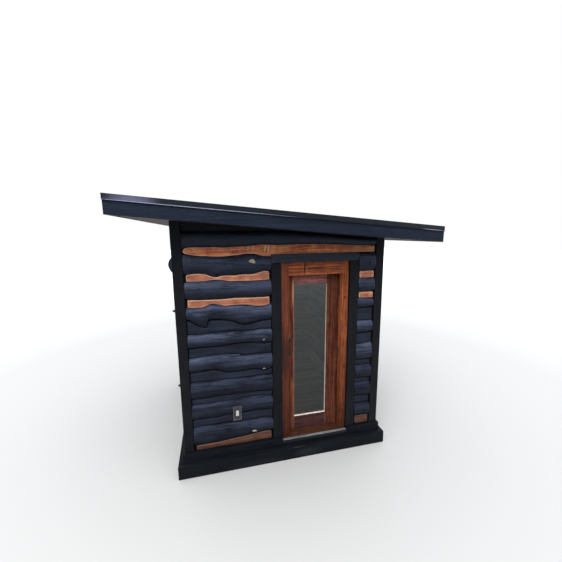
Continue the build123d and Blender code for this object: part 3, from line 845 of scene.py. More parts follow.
MARKS = (
    Mark(FRONT, 620, 1652, 34, 28, 7), Mark(FRONT, 672, 1682, 12, 10, -8),
    Mark(FRONT, 556, 1655, 40, 5, -4), Mark(FRONT, 336, 1560, 22, 20, 8),
    Mark(FRONT, 180, 1440, 40, 26, 5),
    Mark(FRONT, 285, 1290, 30, 20, 6), Mark(FRONT, 268, 1281, 20, 4, -6),
    Mark(FRONT, 150, 1240, 50, 5, -3), Mark(FRONT, 215, 1135, 40, 16, -6),
    Mark(FRONT, 160, 1160, 40, 8, -6), Mark(FRONT, 242, 1154, 7, 10, -8),
    Mark(FRONT, 500, 1225, 60, 7, 4), Mark(FRONT, 560, 1150, 60, 30, 5),
    Mark(FRONT, 700, 969, 22, 14, 5), Mark(FRONT, 720, 945, 50, 4, -4),
    Mark(FRONT, 660, 985, 40, 3, -3), Mark(FRONT, 708, 697, 28, 20, 7),
    Mark(FRONT, 300, 715, 40, 4, -3), Mark(FRONT, 200, 805, 60, 5, -3),
    Mark(FRONT, 600, 122, 34, 28, 8), Mark(FRONT, 640, 165, 60, 6, -3),
    Mark(FRONT, 1686, 1604, 30, 24, 5),
    Mark(FRONT, 1650, 838, 26, 10, 4), Mark(FRONT, 1720, 836, 22, 10, 4),
    Mark(LEFT, 1684, 1632, 60, 80, 40), Mark(LEFT, 1694, 1238, 18, 15, 44),
    Mark(LEFT, 1690, 566, 16, 14, 32), Mark(LEFT, 1120, 1440, 34, 24, 9),
    Mark(LEFT, 700, 1010, 40, 22, 8), Mark(LEFT, 1420, 775, 34, 22, 8),
    Mark(LEFT, 460, 560, 30, 24, 9), Mark(LEFT, 1000, 150, 44, 26, 8),
    Mark(BACK, 420, 1640, 34, 24, 8), Mark(BACK, 1180, 1430, 30, 20, 8),
    Mark(BACK, 760, 1220, 60, 30, 8), Mark(BACK, 1420, 985, 30, 18, 8),
    Mark(BACK, 560, 760, 36, 24, 9), Mark(BACK, 1000, 370, 34, 22, 8),
    Mark(RIGHT, 520, 1450, 32, 22, 9), Mark(RIGHT, 1260, 1620, 30, 20, 8),
    Mark(RIGHT, 900, 1010, 44, 20, 8), Mark(RIGHT, 420, 770, 30, 22, 8),
    Mark(RIGHT, 1380, 560, 34, 24, 9), Mark(RIGHT, 760, 160, 36, 24, 8),
)
MARKS_ON = {wall: [mark for mark in MARKS if mark.wall is wall]
            for wall in (FRONT, BACK, LEFT, RIGHT)}


def only(kind: type, geom: Iterable) -> list:
    """Pick the vertices, edges or faces out of an operator's result."""
    return [item for item in geom if isinstance(item, kind)]


def ease_edges(
    bm: bmesh.types.BMesh, edges: list, offset: float, segments: int = 2, clamped: bool = False
) -> None:
    """Round edges.

    Args:
        bm: the mesh.
        edges: which edges.
        offset: how far they are rounded.
        segments: steps across each rounding.
        clamped: whether roundings stop where they meet.
    """
    bmesh.ops.bevel(bm, geom=edges, offset=offset, segments=segments, profile=0.5,
                    affect="EDGES", clamp_overlap=clamped, material=-1)


def sharp(edges: Iterable, angle: float = 0.4) -> list[bmesh.types.BMEdge]:
    """Edges where the faces turn by more than an angle."""
    return [edge for edge in edges if edge.calc_face_angle(0) > angle]


def cut_to_soffit(bm: bmesh.types.BMesh, parts: list, gap: float) -> None:
    """Cut parts of a mesh off just below the soffit and close the cut.

    Args:
        bm: the mesh.
        parts: its vertices, edges and faces to cut.
        gap: how far below.
    """
    cut = bmesh.ops.bisect_plane(
        bm, geom=parts, plane_co=(-HALF, 0, soffit(-HALF) - gap), plane_no=(SLOPE, 0, 1),
        clear_outer=True,
    )["geom_cut"]
    edges = only(bmesh.types.BMEdge, cut)
    if edges:
        bmesh.ops.edgeloop_fill(bm, edges=edges)


def board(
    bm: bmesh.types.BMesh, low: Place, high: Place, ease: float = 0.002, under_roof: bool = False
) -> list[bmesh.types.BMVert]:
    """Add a squared board with eased edges.

    Args:
        bm: the mesh.
        low: lowest corner.
        high: highest corner.
        ease: how far its edges are rounded.
        under_roof: whether its top is cut to the soffit.

    Returns:
        The board's vertices.
    """
    size = [b - a for a, b in zip(low, high)]
    middle = [(a + b) / 2 for a, b in zip(low, high)]
    place = Matrix.Translation(middle) @ Matrix.Diagonal((*size, 1.0))
    before = set(bm.verts)
    made = bmesh.ops.create_cube(bm, size=1.0, matrix=place)["verts"]
    if under_roof:
        parts = {item for v in made for item in (v, *v.link_edges, *v.link_faces)}
        cut_to_soffit(bm, list(parts), 0.0005)
        made = [vert for vert in bm.verts if vert not in before]
    ease_edges(bm, list({edge for vert in made for edge in vert.link_edges}), ease)
    return [vert for vert in bm.verts if vert not in before]


def stud(
    bm: bmesh.types.BMesh, place: Place, turn: Matrix, sides: int, foot: float, top: float,
    depth: float,
) -> None:
    """Add a washer or a screw's head.

    Args:
        bm: the mesh.
        place: its middle.
        turn: which way it points.
        sides: how many sides it has.
        foot: radius at its foot.
        top: radius at its top.
        depth: how thick it is.
    """
    bmesh.ops.create_cone(bm, cap_ends=True, segments=sides, radius1=foot, radius2=top,
                          depth=depth, matrix=Matrix.Translation(place) @ turn)


def eased(node: str, ease: float, segments: int = 2) -> bmesh.types.BMesh:
    """Copy a solid with its sharp edges rounded.

    Args:
        node: the solid's node.
        ease: how far its edges are rounded.
        segments: steps across each rounding.

    Returns:
        The new mesh.
    """
    bm = bmesh.new()
    bm.from_mesh(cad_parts[node].data)
    bmesh.ops.remove_doubles(bm, verts=bm.verts, dist=1e-5)
    bmesh.ops.dissolve_limit(bm, angle_limit=0.02, verts=bm.verts, edges=bm.edges)
    ease_edges(bm, sharp(bm.edges), ease, segments, clamped=True)
    return bm


def shaded(
    bm: bmesh.types.BMesh, rule: float | Callable[[Vector], float]
) -> bmesh.types.BMesh:
    """Give a mesh, or its parts, a tone that lightens or darkens their finish: their own colour,
    and on some pieces painted light and shade.

    Args:
        bm: the mesh.
        rule: how much lighter, or darker below 0, the finish is everywhere or at a place.

    Returns:
        The same mesh.
    """
    tone = bm.verts.layers.float.new("tone")
    for vert in bm.verts:
        vert[tone] = rule(vert.co) if callable(rule) else rule
    return bm


def piece(
    bm: bmesh.types.BMesh, name: str, finish: bpy.types.Material,
    replaced: tuple[str, ...] = (), body: Body = Body.CABIN,
) -> None:
    """Turn a finished mesh into a piece of the object.

    Args:
        bm: the mesh, which is freed.
        name: name of the piece.
        finish: its material.
        replaced: nodes that it stands for.
        body: the body that it moves with.
    """
    bmesh.ops.recalc_face_normals(bm, faces=bm.faces)
    mesh = bpy.data.meshes.new(name)
    bm.to_mesh(mesh)
    bm.free()
    mesh.materials.append(finish)
    made = bpy.data.objects.new(name, mesh)
    bpy.context.scene.collection.objects.link(made)
    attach(made, body.value)
    if replaced:
        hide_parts(*replaced)
    log.info("%s: %d faces", name, len(mesh.polygons))


def dress_nodes(names: tuple[str, ...], finish: bpy.types.Material) -> None:
    """Give solids that keep their shape a finish.

    Args:
        names: their nodes.
        finish: the material.
    """
    for name in names:
        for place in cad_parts[name].material_slots:
            place.material = finish
    log.info("dressed %s", ", ".join(names))


class Form(Enum):
    """Section of a course."""

    HALF_LOG = "half log"
    FLAT = "flat board"


@dataclass
class Course:
    """One log or board that runs across a wall between two live edges."""

    wall: Wall
    low: str
    high: str
    start: float
    end: float
    form: Form = Form.HALF_LOG
    depth: float = 0.046
    edge: float = 0.004
    step: float = 0.005
    rows: int = 20
    gap: float = 0.0012
    round_ends: Point = (0.0, 0.0)
    tone: float = 0.0
    # painted highlight: how much lighter the top of the face is painted
    faded: float = 0.0
    level_over_door: bool = False
    over_door: float = 1.6975
    highest: float = 1.890
    ease: float = 0.005
    rim_width: float = 0.015
    # share of the way round over which that painted highlight rises
    top_light_band: Point = (0.30, 0.70)
    back: float = 0.0004
    beside_door: float = 0.002
    under_soffit: float = 0.007
    roundest: float = 0.46

    def limits(self, across: float) -> Point:
        """Lower and upper edge at a place, above the ledge.

        Args:
            across: place across the wall.

        Returns:
            Both heights.
        """
        foot = EDGES[self.low].height(self.wall, across)
        inside = min(across - PANEL_END, PANEL_START - across)
        if self.level_over_door and inside > self.beside_door:
            foot = self.over_door
        if self.high:
            top = EDGES[self.high].height(self.wall, across) - self.gap
        else:
            outer = self.wall.matrix() @ Vector((across, 0, self.depth))
            top = min(self.highest, soffit(outer.x) - LEDGE - self.under_soffit)
        foot += self.gap
        for radius, away in zip(self.round_ends, (across - self.start, self.end - across)):
            if away < radius:
                inset = radius - math.sqrt(max(radius * radius - (radius - away) ** 2, 0.0))
                inset = min(inset, (top - foot) * self.roundest)
                foot, top = foot + inset, top - inset
        return foot, top

    def rough(self, across: float, up: float, seed: float) -> float:
        """Natural lumps of a log's face, from broad to fine.

        Args:
            across: place across the wall.
            up: height above the ledge.
            seed: which log.

        Returns:
            The movement outwards, in metres.
        """
        lumps = 2.6 * noise.noise(Vector((across * 6, up * 11, seed)))
        lumps += 1.3 * noise.noise(Vector((across * 17, up * 34, seed + 7)))
        lumps += 0.5 * noise.noise(Vector((across * 55, up * 120, seed + 3)))
        return lumps * MM

    def surface(self, across: float, foot: float, top: float, t: float) -> tuple[Vector, float]:
        """Point of the course's face.

        Args:
            across: place across the wall.
            foot: lower edge there.
            top: upper edge there.
            t: share of the way round from the lower to the upper edge.

        Returns:
            The point, and how close it is to a live edge, from 0 to 1.
        """
        height = top - foot
        up = foot + height * (1 - math.cos(math.pi * t)) / 2
        bow = max(math.sin(math.pi * t), 0.0)
        seed = EDGES[self.low].eight[0] * 0.61 + len(self.wall.name)
        near = min(up - foot, top - up)
        if self.form is Form.HALF_LOG:
            swell = 1 + 0.07 * noise.noise(Vector((across * 3, seed, 1)))
            crown = min(self.depth, self.edge + 0.36 * height) * swell
            out = self.edge + (crown - self.edge) * bow**0.75
            out += self.rough(across, up, seed) * min(1.0, bow * 3)
            marks = sum(mark.at(across, up) for mark in MARKS_ON[self.wall])
            out += marks * min(1.0, bow * 4)
        else:
            share = 1 - min(1.0, max(near, 0.0) / self.ease)
            out = self.depth - self.ease * (1 - math.sqrt(max(1 - share * share, 0.0)))
            out += 0.9 * MM * noise.noise(Vector((across * 5, up * 14, seed)))
        ends = min(across - self.start, self.end - across)
        out -= 0.003 * max(0.0, 1 - ends / self.ease) ** 2
        rim = max(0.0, 1 - min(near, ends) / self.rim_width)
        return Vector((across, up, max(out, 0.001))), rim

    def build(self, bm: bmesh.types.BMesh) -> None:
        """Add the course to a mesh as a closed shell.

        Args:
            bm: the mesh, in the cabin's directions.
        """
        layers = bm.verts.layers.float
        rim, tone = (layers.get(name) or layers.new(name) for name in ("rim", "tone"))
        length = self.end - self.start
        columns = max(6, round(length / self.step))
        made = bmesh.ops.create_grid(
            bm, x_segments=columns, y_segments=self.rows, size=0.5)["verts"]
        stations = [self.start + i * length / columns for i in range(columns + 1)]
        limits = [self.limits(across) for across in stations]
        low, high = self.top_light_band
        for vert in made:
            i, t = round((vert.co.x + 0.5) * columns), vert.co.y + 0.5
            vert.co, vert[rim] = self.surface(stations[i], *limits[i], t)
            # Painted highlight: the tone rises across the upper part of each face, so the tops of
            # the logs are painted lighter, in place of light falling on them from above.
            upper = min(max((t - low) / (high - low), 0.0), 1.0)
            vert[tone] = self.tone + self.faded * upper * upper * (3 - 2 * upper)
        for face in {face for vert in made for face in vert.link_faces}:
            face.smooth = True
        border = [edge for edge in {e for v in made for e in v.link_edges} if edge.is_boundary]
        grown = bmesh.ops.extrude_edge_only(bm, edges=border)["geom"]
        back = only(bmesh.types.BMVert, grown)
        for vert in back:
            vert.co.z, vert[rim] = self.back, 0.8
        loop = [edge for edge in only(bmesh.types.BMEdge, grown) if edge.is_boundary]
        bmesh.ops.edgeloop_fill(bm, edges=loop)
        bmesh.ops.transform(bm, matrix=self.wall.matrix(), verts=made + back)


LOGS = (("h_foot", "h_top"), ("g_foot", "g_top"), ("f_foot", "f_top"), ("e_foot", "e_top"),
        ("d_foot", "d_top"), ("c_foot", "c_top"), ("b_foot", "b_top"), ("a_foot", "a_top"))
FILLS = (("h_top", "g_foot"), ("g_top", "f_foot"), ("f_top", "e_foot"), ("e_top", "d_foot"),
         ("d_top", "c_foot"))
STRIPS = (("ledge", "h_foot"), ("c_top", "b_foot"), ("b_top", "a_foot"))
# tones left and right of the door
STRIP_TONES = {"ledge": (-0.76, -0.77), "c_top": (0.14, 0.34), "b_top": (0.42, 0.72)}


@dataclass(frozen=True)
class Finishes:
    """Finishes that several walls share."""

    black: BlackStain = BlackStain("black_stain")
    duller: BlackStain = BlackStain("black_duller", sheen=0.16, gloss=0.28)
    under: BlackStain = BlackStain("black_under", linear(12, 13, 17), linear(48, 53, 70),
                                   0.34, 0.55, 0.24, (0.60, 0.70, 1.0))
    boards: BlackStain = BlackStain("black_boards", linear(15, 15, 17), linear(27, 28, 31),
                                    0.45, 0.6, 0.10, (0.72, 0.80, 1.0))
    strip: NaturalWood = NaturalWood(
        "natural_strip", linear(112, 60, 42), linear(160, 98, 74), linear(202, 136, 104),
        linear(214, 176, 152), 34.0, contrast=0.11, crisp=0.7, mottle=0.9)
    long_strip: NaturalWood = NaturalWood(
        "long_strip", linear(116, 52, 32), linear(190, 108, 74), linear(232, 158, 114),
        linear(240, 196, 166), 34.0, contrast=0.10, crisp=0.7, mottle=0.9,
        stains_and_painted_light=(*(Stain(x - HALF, z, wide, 0.04, linear(240, 190, 148), share, 0.2)
                  for x, z, wide, share in ((0.736, 1.950, 0.0075, 0.95),
                                            (0.763, 1.950, 0.0075, 0.95),
                                            (0.636, 1.957, 0.006, 0.6),
                                            (0.593, 1.957, 0.010, 0.45))),
                Stain(0.64, 1.945, 0.20, 0.05, linear(124, 70, 48), 0.5),
                Stain(-0.62, 1.94, 0.08, 0.02, linear(176, 84, 50), 0.5)),
    )


@dataclass
class Siding:
    """Black half logs and boards with natural strips between them, on one wall."""

    wall: Wall
    log_nodes: tuple[str, ...]
    strip_nodes: tuple[str, ...]
    finishes: Finishes
    step: float
    rows: int
    margin: float = 0.0005
    fill_depth: float = 0.020
    strip_depth: float = 0.025
    strip_left: float = 0.018
    strip_right: Point = (0.016, 0.005)
    above_log: Point = (1.892, 1.985)
    above_depth: float = 0.012
    above_ease: float = 0.001
    black_tone: float = -0.35
    top_edge: float = 0.014
    # painted shade: the top log, under the roof's overhang, is toned darker
    top_log_painted_shade: float = -0.3
    strip_rows: int = 12
    strip_ends: Point = (0.005, 0.006)
    long_inset: Point = (0.003, 0.008)
    long_ends: Point = (0.022, 0.006)
    long_tone: float = 0.58

    def stretches(self) -> list[Point]:
        """Find the runs of the wall that are clear of the door and its trim.

        Returns:
            Start and end of each.
        """
        if self.wall is FRONT:
            return [(self.wall.start, PANEL_END), (PANEL_START, self.wall.end)]
        return [(self.wall.start, self.wall.end)]

    def courses(self, pairs: tuple[tuple[str, str], ...], **shape: object) -> list[Course]:
        """Make the courses between pairs of live edges.

        Args:
            pairs: lower and upper edge of each.
            shape: further settings of a course.

        Returns:
            The courses, on every clear stretch of the wall.
        """
        return [
            Course(self.wall, low, high, start + self.margin, end - self.margin,
                   step=self.step, **shape)
            for low, high in pairs
            for start, end in self.stretches()
        ]

    def finish(
        self, courses: list[Course], name: str, finish: BlackStain | NaturalWood, slot: str,
        replaced: tuple[str, ...],
    ) -> None:
        """Build courses as one piece.

        Args:
            courses: the courses.
            name: the piece's name after the wall's.
            finish: its finish.
            slot: not used.
            replaced: nodes that it stands for.
        """
        bm = bmesh.new()
        for course in courses:
            course.build(bm)
        piece(bm, f"{self.wall.name}_{name}", finish.material(self.wall.grain), replaced)

    def logs(self) -> None:
        """Build the half logs: the shinier upper ones, with their tops painted lighter more
        strongly, and the duller lower ones.
        """
        for part, pairs, stain, faded in (("lower", LOGS[:3], self.finishes.duller, 1.25),
                                          ("upper", LOGS[3:], self.finishes.black, 3.3)):
            courses = self.courses(pairs, rows=self.rows, tone=self.black_tone,
                                   faded=faded)
            self.finish(courses, f"{part}_half_logs", stain, "weathered_black_wood",
                        self.log_nodes)

    def fills(self) -> None:
        """Build the top log and the flat black boards between the logs."""
        top = Course(self.wall, "strip_top", "", self.wall.start + self.margin,
                     self.wall.end - self.margin, step=self.step, rows=max(8, self.rows // 2),
                     edge=self.top_edge, tone=self.top_log_painted_shade)
        flat = self.courses(FILLS, form=Form.FLAT, depth=self.fill_depth, rows=6,
                            tone=self.black_tone)
        self.finish([top, *flat], "fill_boards", self.finishes.under, "weathered_black_wood",
                    (*self.log_nodes, "top_boards"))

    def top_board(self) -> None:
        """Build the board above the top log, cut to the soffit."""
        bm = bmesh.new()
        low, high = self.above_log
        made = board(bm, (self.wall.start, low, 0.0), (self.wall.end, high, self.above_depth))
        bmesh.ops.transform(bm, matrix=self.wall.matrix(), verts=made)
        cut_to_soffit(bm, [*bm.verts, *bm.edges, *bm.faces], self.above_ease)
        piece(shaded(bm, 0.1), f"{self.wall.name}_top_board",
              self.finishes.boards.material(self.wall.grain),
              ("top_boards",))

    def strips(self) -> None:
        """Build the natural strips, and the long one over the door's trim."""
        shape = {"form": Form.FLAT, "depth": self.strip_depth, "rows": self.strip_rows}
        short = self.courses(STRIPS, round_ends=self.strip_ends, **shape)
        for course in short:
            course.start += self.strip_left
            right_of_door = int(course.start > DOOR_ACROSS)
            course.end -= self.strip_right[right_of_door]
            course.tone = STRIP_TONES[course.low][right_of_door]
        self.finish(short, "natural_strips", self.finishes.strip, "live_edge_wood",
                    self.strip_nodes)
        left, right = self.long_inset
        long = Course(self.wall, "a_top", "strip_top", self.wall.start + left,
                      self.wall.end - right, step=self.step, round_ends=self.long_ends,
                      tone=self.long_tone, level_over_door=self.wall is FRONT, **shape)
        self.finish([long], "long_strip", self.finishes.long_strip, "live_edge_wood",
                    self.strip_nodes)

    def build(self) -> None:
        """Build every course of the wall. The soffit hides the top board's place on the right."""
        self.logs()
        self.fills()
        if self.wall is not RIGHT:
            self.top_board()
        self.strips()


@dataclass(frozen=True)
class Knot:
    """Sawn end of a branch on a log's face, in millimetres."""

    wall: Wall
    across: float
    up: float
    width: float
    height: float
    turn: float = 0.0
    taper: float = 0.0
    tone: float = 0.0


@dataclass
class CutKnots:
    """Knots sawn flush where branches were cut from the logs: pale ones, and near-black discs for
    holes and dark knots, whose black at the holes is painted shade.
    """

    finish: EndGrain
    # tone of the near-black discs; at the holes it is painted shade
    dark: float = -0.98
    sides: int = 28
    rings: tuple[float, ...] = (0.25, 0.5, 0.75, 1.0)
    lumps: Point = (0.10, 0.06)
    dome: float = 0.0022
    lip: float = 0.0012
    places: tuple[Knot, ...] = (
        Knot(FRONT, 619, 1650, 33, 31, 0.0, 0.8), Knot(FRONT, 706, 971, 13, 7, 0.2, 0.3, -0.45),
        Knot(FRONT, 706, 703, 15, 10, 0.1, 0.3, -0.45),
        Knot(FRONT, 604, 121, 23, 16, -0.3, 0.6, -0.1),
        Knot(LEFT, 1120, 1440, 20, 15, 0.1), Knot(LEFT, 460, 560, 19, 15),
        Knot(LEFT, 1000, 150, 22, 16, 0.3), Knot(BACK, 420, 1640, 20, 16),
        Knot(BACK, 1180, 1430, 18, 13, 0.2), Knot(BACK, 560, 760, 22, 17),
        Knot(RIGHT, 520, 1450, 20, 15, 0.1), Knot(RIGHT, 1380, 560, 20, 16),
        Knot(RIGHT, 420, 770, 17, 12, 0.4), Knot(FRONT, 168, 1436, 8, 9, tone=dark),
        Knot(FRONT, 191, 1440, 7, 8, tone=dark), Knot(FRONT, 126, 1437, 28, 4, 0.0, 0.5, -0.96),
        Knot(FRONT, 316, 1566, 9, 8, tone=dark), Knot(FRONT, 334, 1548, 12, 8, 0.3, tone=dark),
        Knot(FRONT, 1686, 1604, 10, 10, tone=dark),
    )

    def disc(self, bm: bmesh.types.BMesh) -> list[bmesh.types.BMVert]:
        """Add a flat disc of rings, with a radius of 1.

        Args:
            bm: the mesh.

        Returns:
            The disc's vertices.
        """
        before = set(bm.verts)
        for share in self.rings:
            bmesh.ops.create_circle(bm, segments=self.sides, radius=share)
        made = [vert for vert in bm.verts if vert not in before]
        inner = sorted(made, key=lambda vert: vert.co.length)[:self.sides]
        bmesh.ops.bridge_loops(bm, edges=[e for e in bm.edges if e.verts[0] in set(made)])
        bmesh.ops.contextual_create(bm, geom=inner)
        return made

    def build(self) -> None:
        """Set each knot's disc in the face of its log."""
        bm = bmesh.new()
        ring, tone = (bm.verts.layers.float.new(name) for name in ("ring", "tone"))
        for knot in self.places:
            pair = next(pair for pair in LOGS if self.holds(knot, pair))
            course = Course(knot.wall, *pair, knot.wall.start, knot.wall.end)
            foot, top = course.limits(knot.across * MM)
            made = self.disc(bm)
            for vert in made:
                vert[ring], vert[tone] = vert.co.length, knot.tone
                angle = math.atan2(vert.co.y, vert.co.x)
                grow = 1 + self.lumps[0] * math.sin(2 * angle + knot.across)
                grow += self.lumps[1] * math.sin(3 * angle + knot.up)
                tall = knot.height * (1 - knot.taper * (1 - vert.co.x) / 2)
                flat = Matrix.Rotation(knot.turn, 3, "Z") @ Vector(
                    (vert.co.x * knot.width * grow, vert.co.y * tall * grow, 0))
                x, y = (knot.across + flat.x) * MM, (knot.up + flat.y) * MM
                share = min(max((y - foot) / (top - foot), 0.02), 0.98)
                point, _ = course.surface(x, foot, top, math.acos(1 - 2 * share) / math.pi)
                lift = self.dome * (1 - vert[ring] ** 6) - self.lip * (vert[ring] > 0.99)
                vert.co = Vector((x, y, point.z + lift))
            bmesh.ops.transform(bm, matrix=knot.wall.matrix(), verts=made)
        for face in bm.faces:
            face.smooth = True
        piece(bm, "cut_knots", self.finish.material())

    def holds(self, knot: Knot, pair: tuple[str, str]) -> bool:
        """Whether a knot is on the log between two live edges.

        Args:
            knot: the knot.
            pair: the log's lower and upper edge.

        Returns:
            True where the log covers the knot's middle.
        """
        low, high = (EDGES[name].height(knot.wall, knot.across * MM) / MM for name in pair)
        return low < knot.up < high


@dataclass
class Carpentry:
    """Squared black boards: the corners, the door's trim and the two-step base."""

    black: BlackStain
    head: BlackStain = BlackStain("black_head", linear(48, 54, 62), linear(70, 77, 88),
                                  0.45, 0.6, 0.12, (0.72, 0.80, 1.0))
    foot: BlackStain = BlackStain(
        "black_foot", linear(12, 14, 17), linear(23, 26, 31), 0.42, 0.6, 0.08, (0.66, 0.78, 1.0),
        stains_and_painted_light=(Stain(0.09, 0.114, 0.07, 0.003, linear(96, 96, 100), 0.5, y=-0.974, deep=0.006),
                Stain(0.18, 0.05, 0.15, 0.05, linear(44, 46, 50), 0.5, y=-0.974, deep=0.1),
                Stain(-0.30, 0.03, 0.30, 0.03, linear(34, 36, 40), 0.5, y=-0.974, deep=0.1)),
    )
    width: float = 0.078
    trim_x: tuple[float, float, float, float] = (-0.131, -0.047, 0.585, 0.669)
    frame_top: float = 1.828
    head_top: float = 1.895
    upper: float = 0.934
    lower: float = 0.972
    lower_top: float = 0.117
    notch_foot: float = 0.150
    base_ease: float = 0.003
    over_roof: float = 2.2
    corner_gap: float = 0.0005
    trim_gap: float = 0.0008
    base_gap: float = 0.0004

    def corners(self) -> None:
        """Build the corner boards."""
        bm = bmesh.new()
        inner = HALF - self.width
        for side in (-1, 1):
            for x0, x1 in ((-HALF, -inner), (inner, HALF)):
                y0, y1 = sorted((side * HALF, side * FACE))
                board(bm, (x0, y0, LEDGE), (x1, y1, self.over_roof), under_roof=True)
            for x0, x1 in ((-HALF, -FACE), (FACE, HALF)):
                y0, y1 = sorted((side * (FACE - self.corner_gap), side * (FACE - self.width)))
                board(bm, (x0, y0, LEDGE), (x1, y1, self.over_roof), under_roof=True)
        piece(bm, "corner_boards", self.black.material(Grain.UPRIGHT),
              ("front_back_corner_boards", "side_corner_boards"))

    def trim(self) -> None:
        """Build the boards round the doorway."""
        a, b, c, d = self.trim_x
        bm = bmesh.new()
        for x0, x1 in ((a, b), (c, d)):
            board(bm, (x0, -HALF, LEDGE), (x1, -FACE, self.frame_top - self.trim_gap))
        piece(bm, "door_trim_uprights", self.black.material(Grain.UPRIGHT),
              ("door_trim_sides",))
        bm = bmesh.new()
        board(bm, (a, -HALF, self.frame_top), (d, -FACE, self.head_top))
        piece(bm, "door_trim_top", self.head.material(Grain.ACROSS),
              ("door_trim_head",))

    def base(self) -> None:
        """Build the wide lower course and the narrower upper course."""
        upper, lower, ease = self.upper, self.lower, self.base_ease
        long_boards, side_boards = bmesh.new(), bmesh.new()
        for side in (-1, 1):
            near, far = sorted((side * lower, side * (upper + self.base_gap)))
            board(long_boards, (-lower, near, 0.0), (lower, far, self.lower_top), ease)
            board(side_boards, (near, -upper, 0.0), (far, upper, self.lower_top), ease)
            near, far = sorted((side * upper, side * FACE))
            board(side_boards, (near, -FACE, 0.0), (far, FACE, LEDGE), ease)
        board(long_boards, (-upper, FACE, 0.0), (upper, upper, LEDGE), ease)
        self.notched(long_boards)
        for bm, name, grain, ending in (
            (long_boards, "base_front_and_back", Grain.ACROSS, "front_back"),
            (side_boards, "base_sides", Grain.DEEP, "sides"),
        ):
            piece(bm, name, self.foot.material(grain),
                  (f"lower_base_{ending}", f"upper_base_{ending}"))

    def notched(self, bm: bmesh.types.BMesh) -> None:
        """Add the front board of the upper course, notched for the threshold.

        Args:
            bm: the mesh.
        """
        columns = (-self.upper, *self.trim_x[1:3], self.upper)
        rows = (0.0, self.notch_foot, LEDGE)
        made = bmesh.ops.create_grid(bm, x_segments=3, y_segments=2, size=0.5)["verts"]
        for vert in made:
            i, j = round((vert.co.x + 0.5) * 3), round((vert.co.y + 0.5) * 2)
            vert.co = (columns[i], -self.upper, rows[j])
        faces = {face for vert in made for face in vert.link_faces}
        middles = {face: face.calc_center_median() for face in faces}
        notch = max(faces, key=lambda face: middles[face].z - abs(middles[face].x - DOOR_X))
        bmesh.ops.delete(bm, geom=[notch], context="FACES")
        faces.discard(notch)
        grown = bmesh.ops.extrude_face_region(bm, geom=list(faces))["geom"]
        verts = only(bmesh.types.BMVert, grown)
        bmesh.ops.translate(bm, vec=(0, self.upper - FACE, 0), verts=verts)
        solid = {f for v in verts + [v for v in made if v.is_valid] for f in v.link_faces}
        bmesh.ops.recalc_face_normals(bm, faces=list(solid))
        ease_edges(bm, sharp({e for f in solid for e in f.edges}, 0.5), self.base_ease)

    def build(self) -> None:
        """Build all the boards."""
        self.corners()
        self.trim()
        self.base()


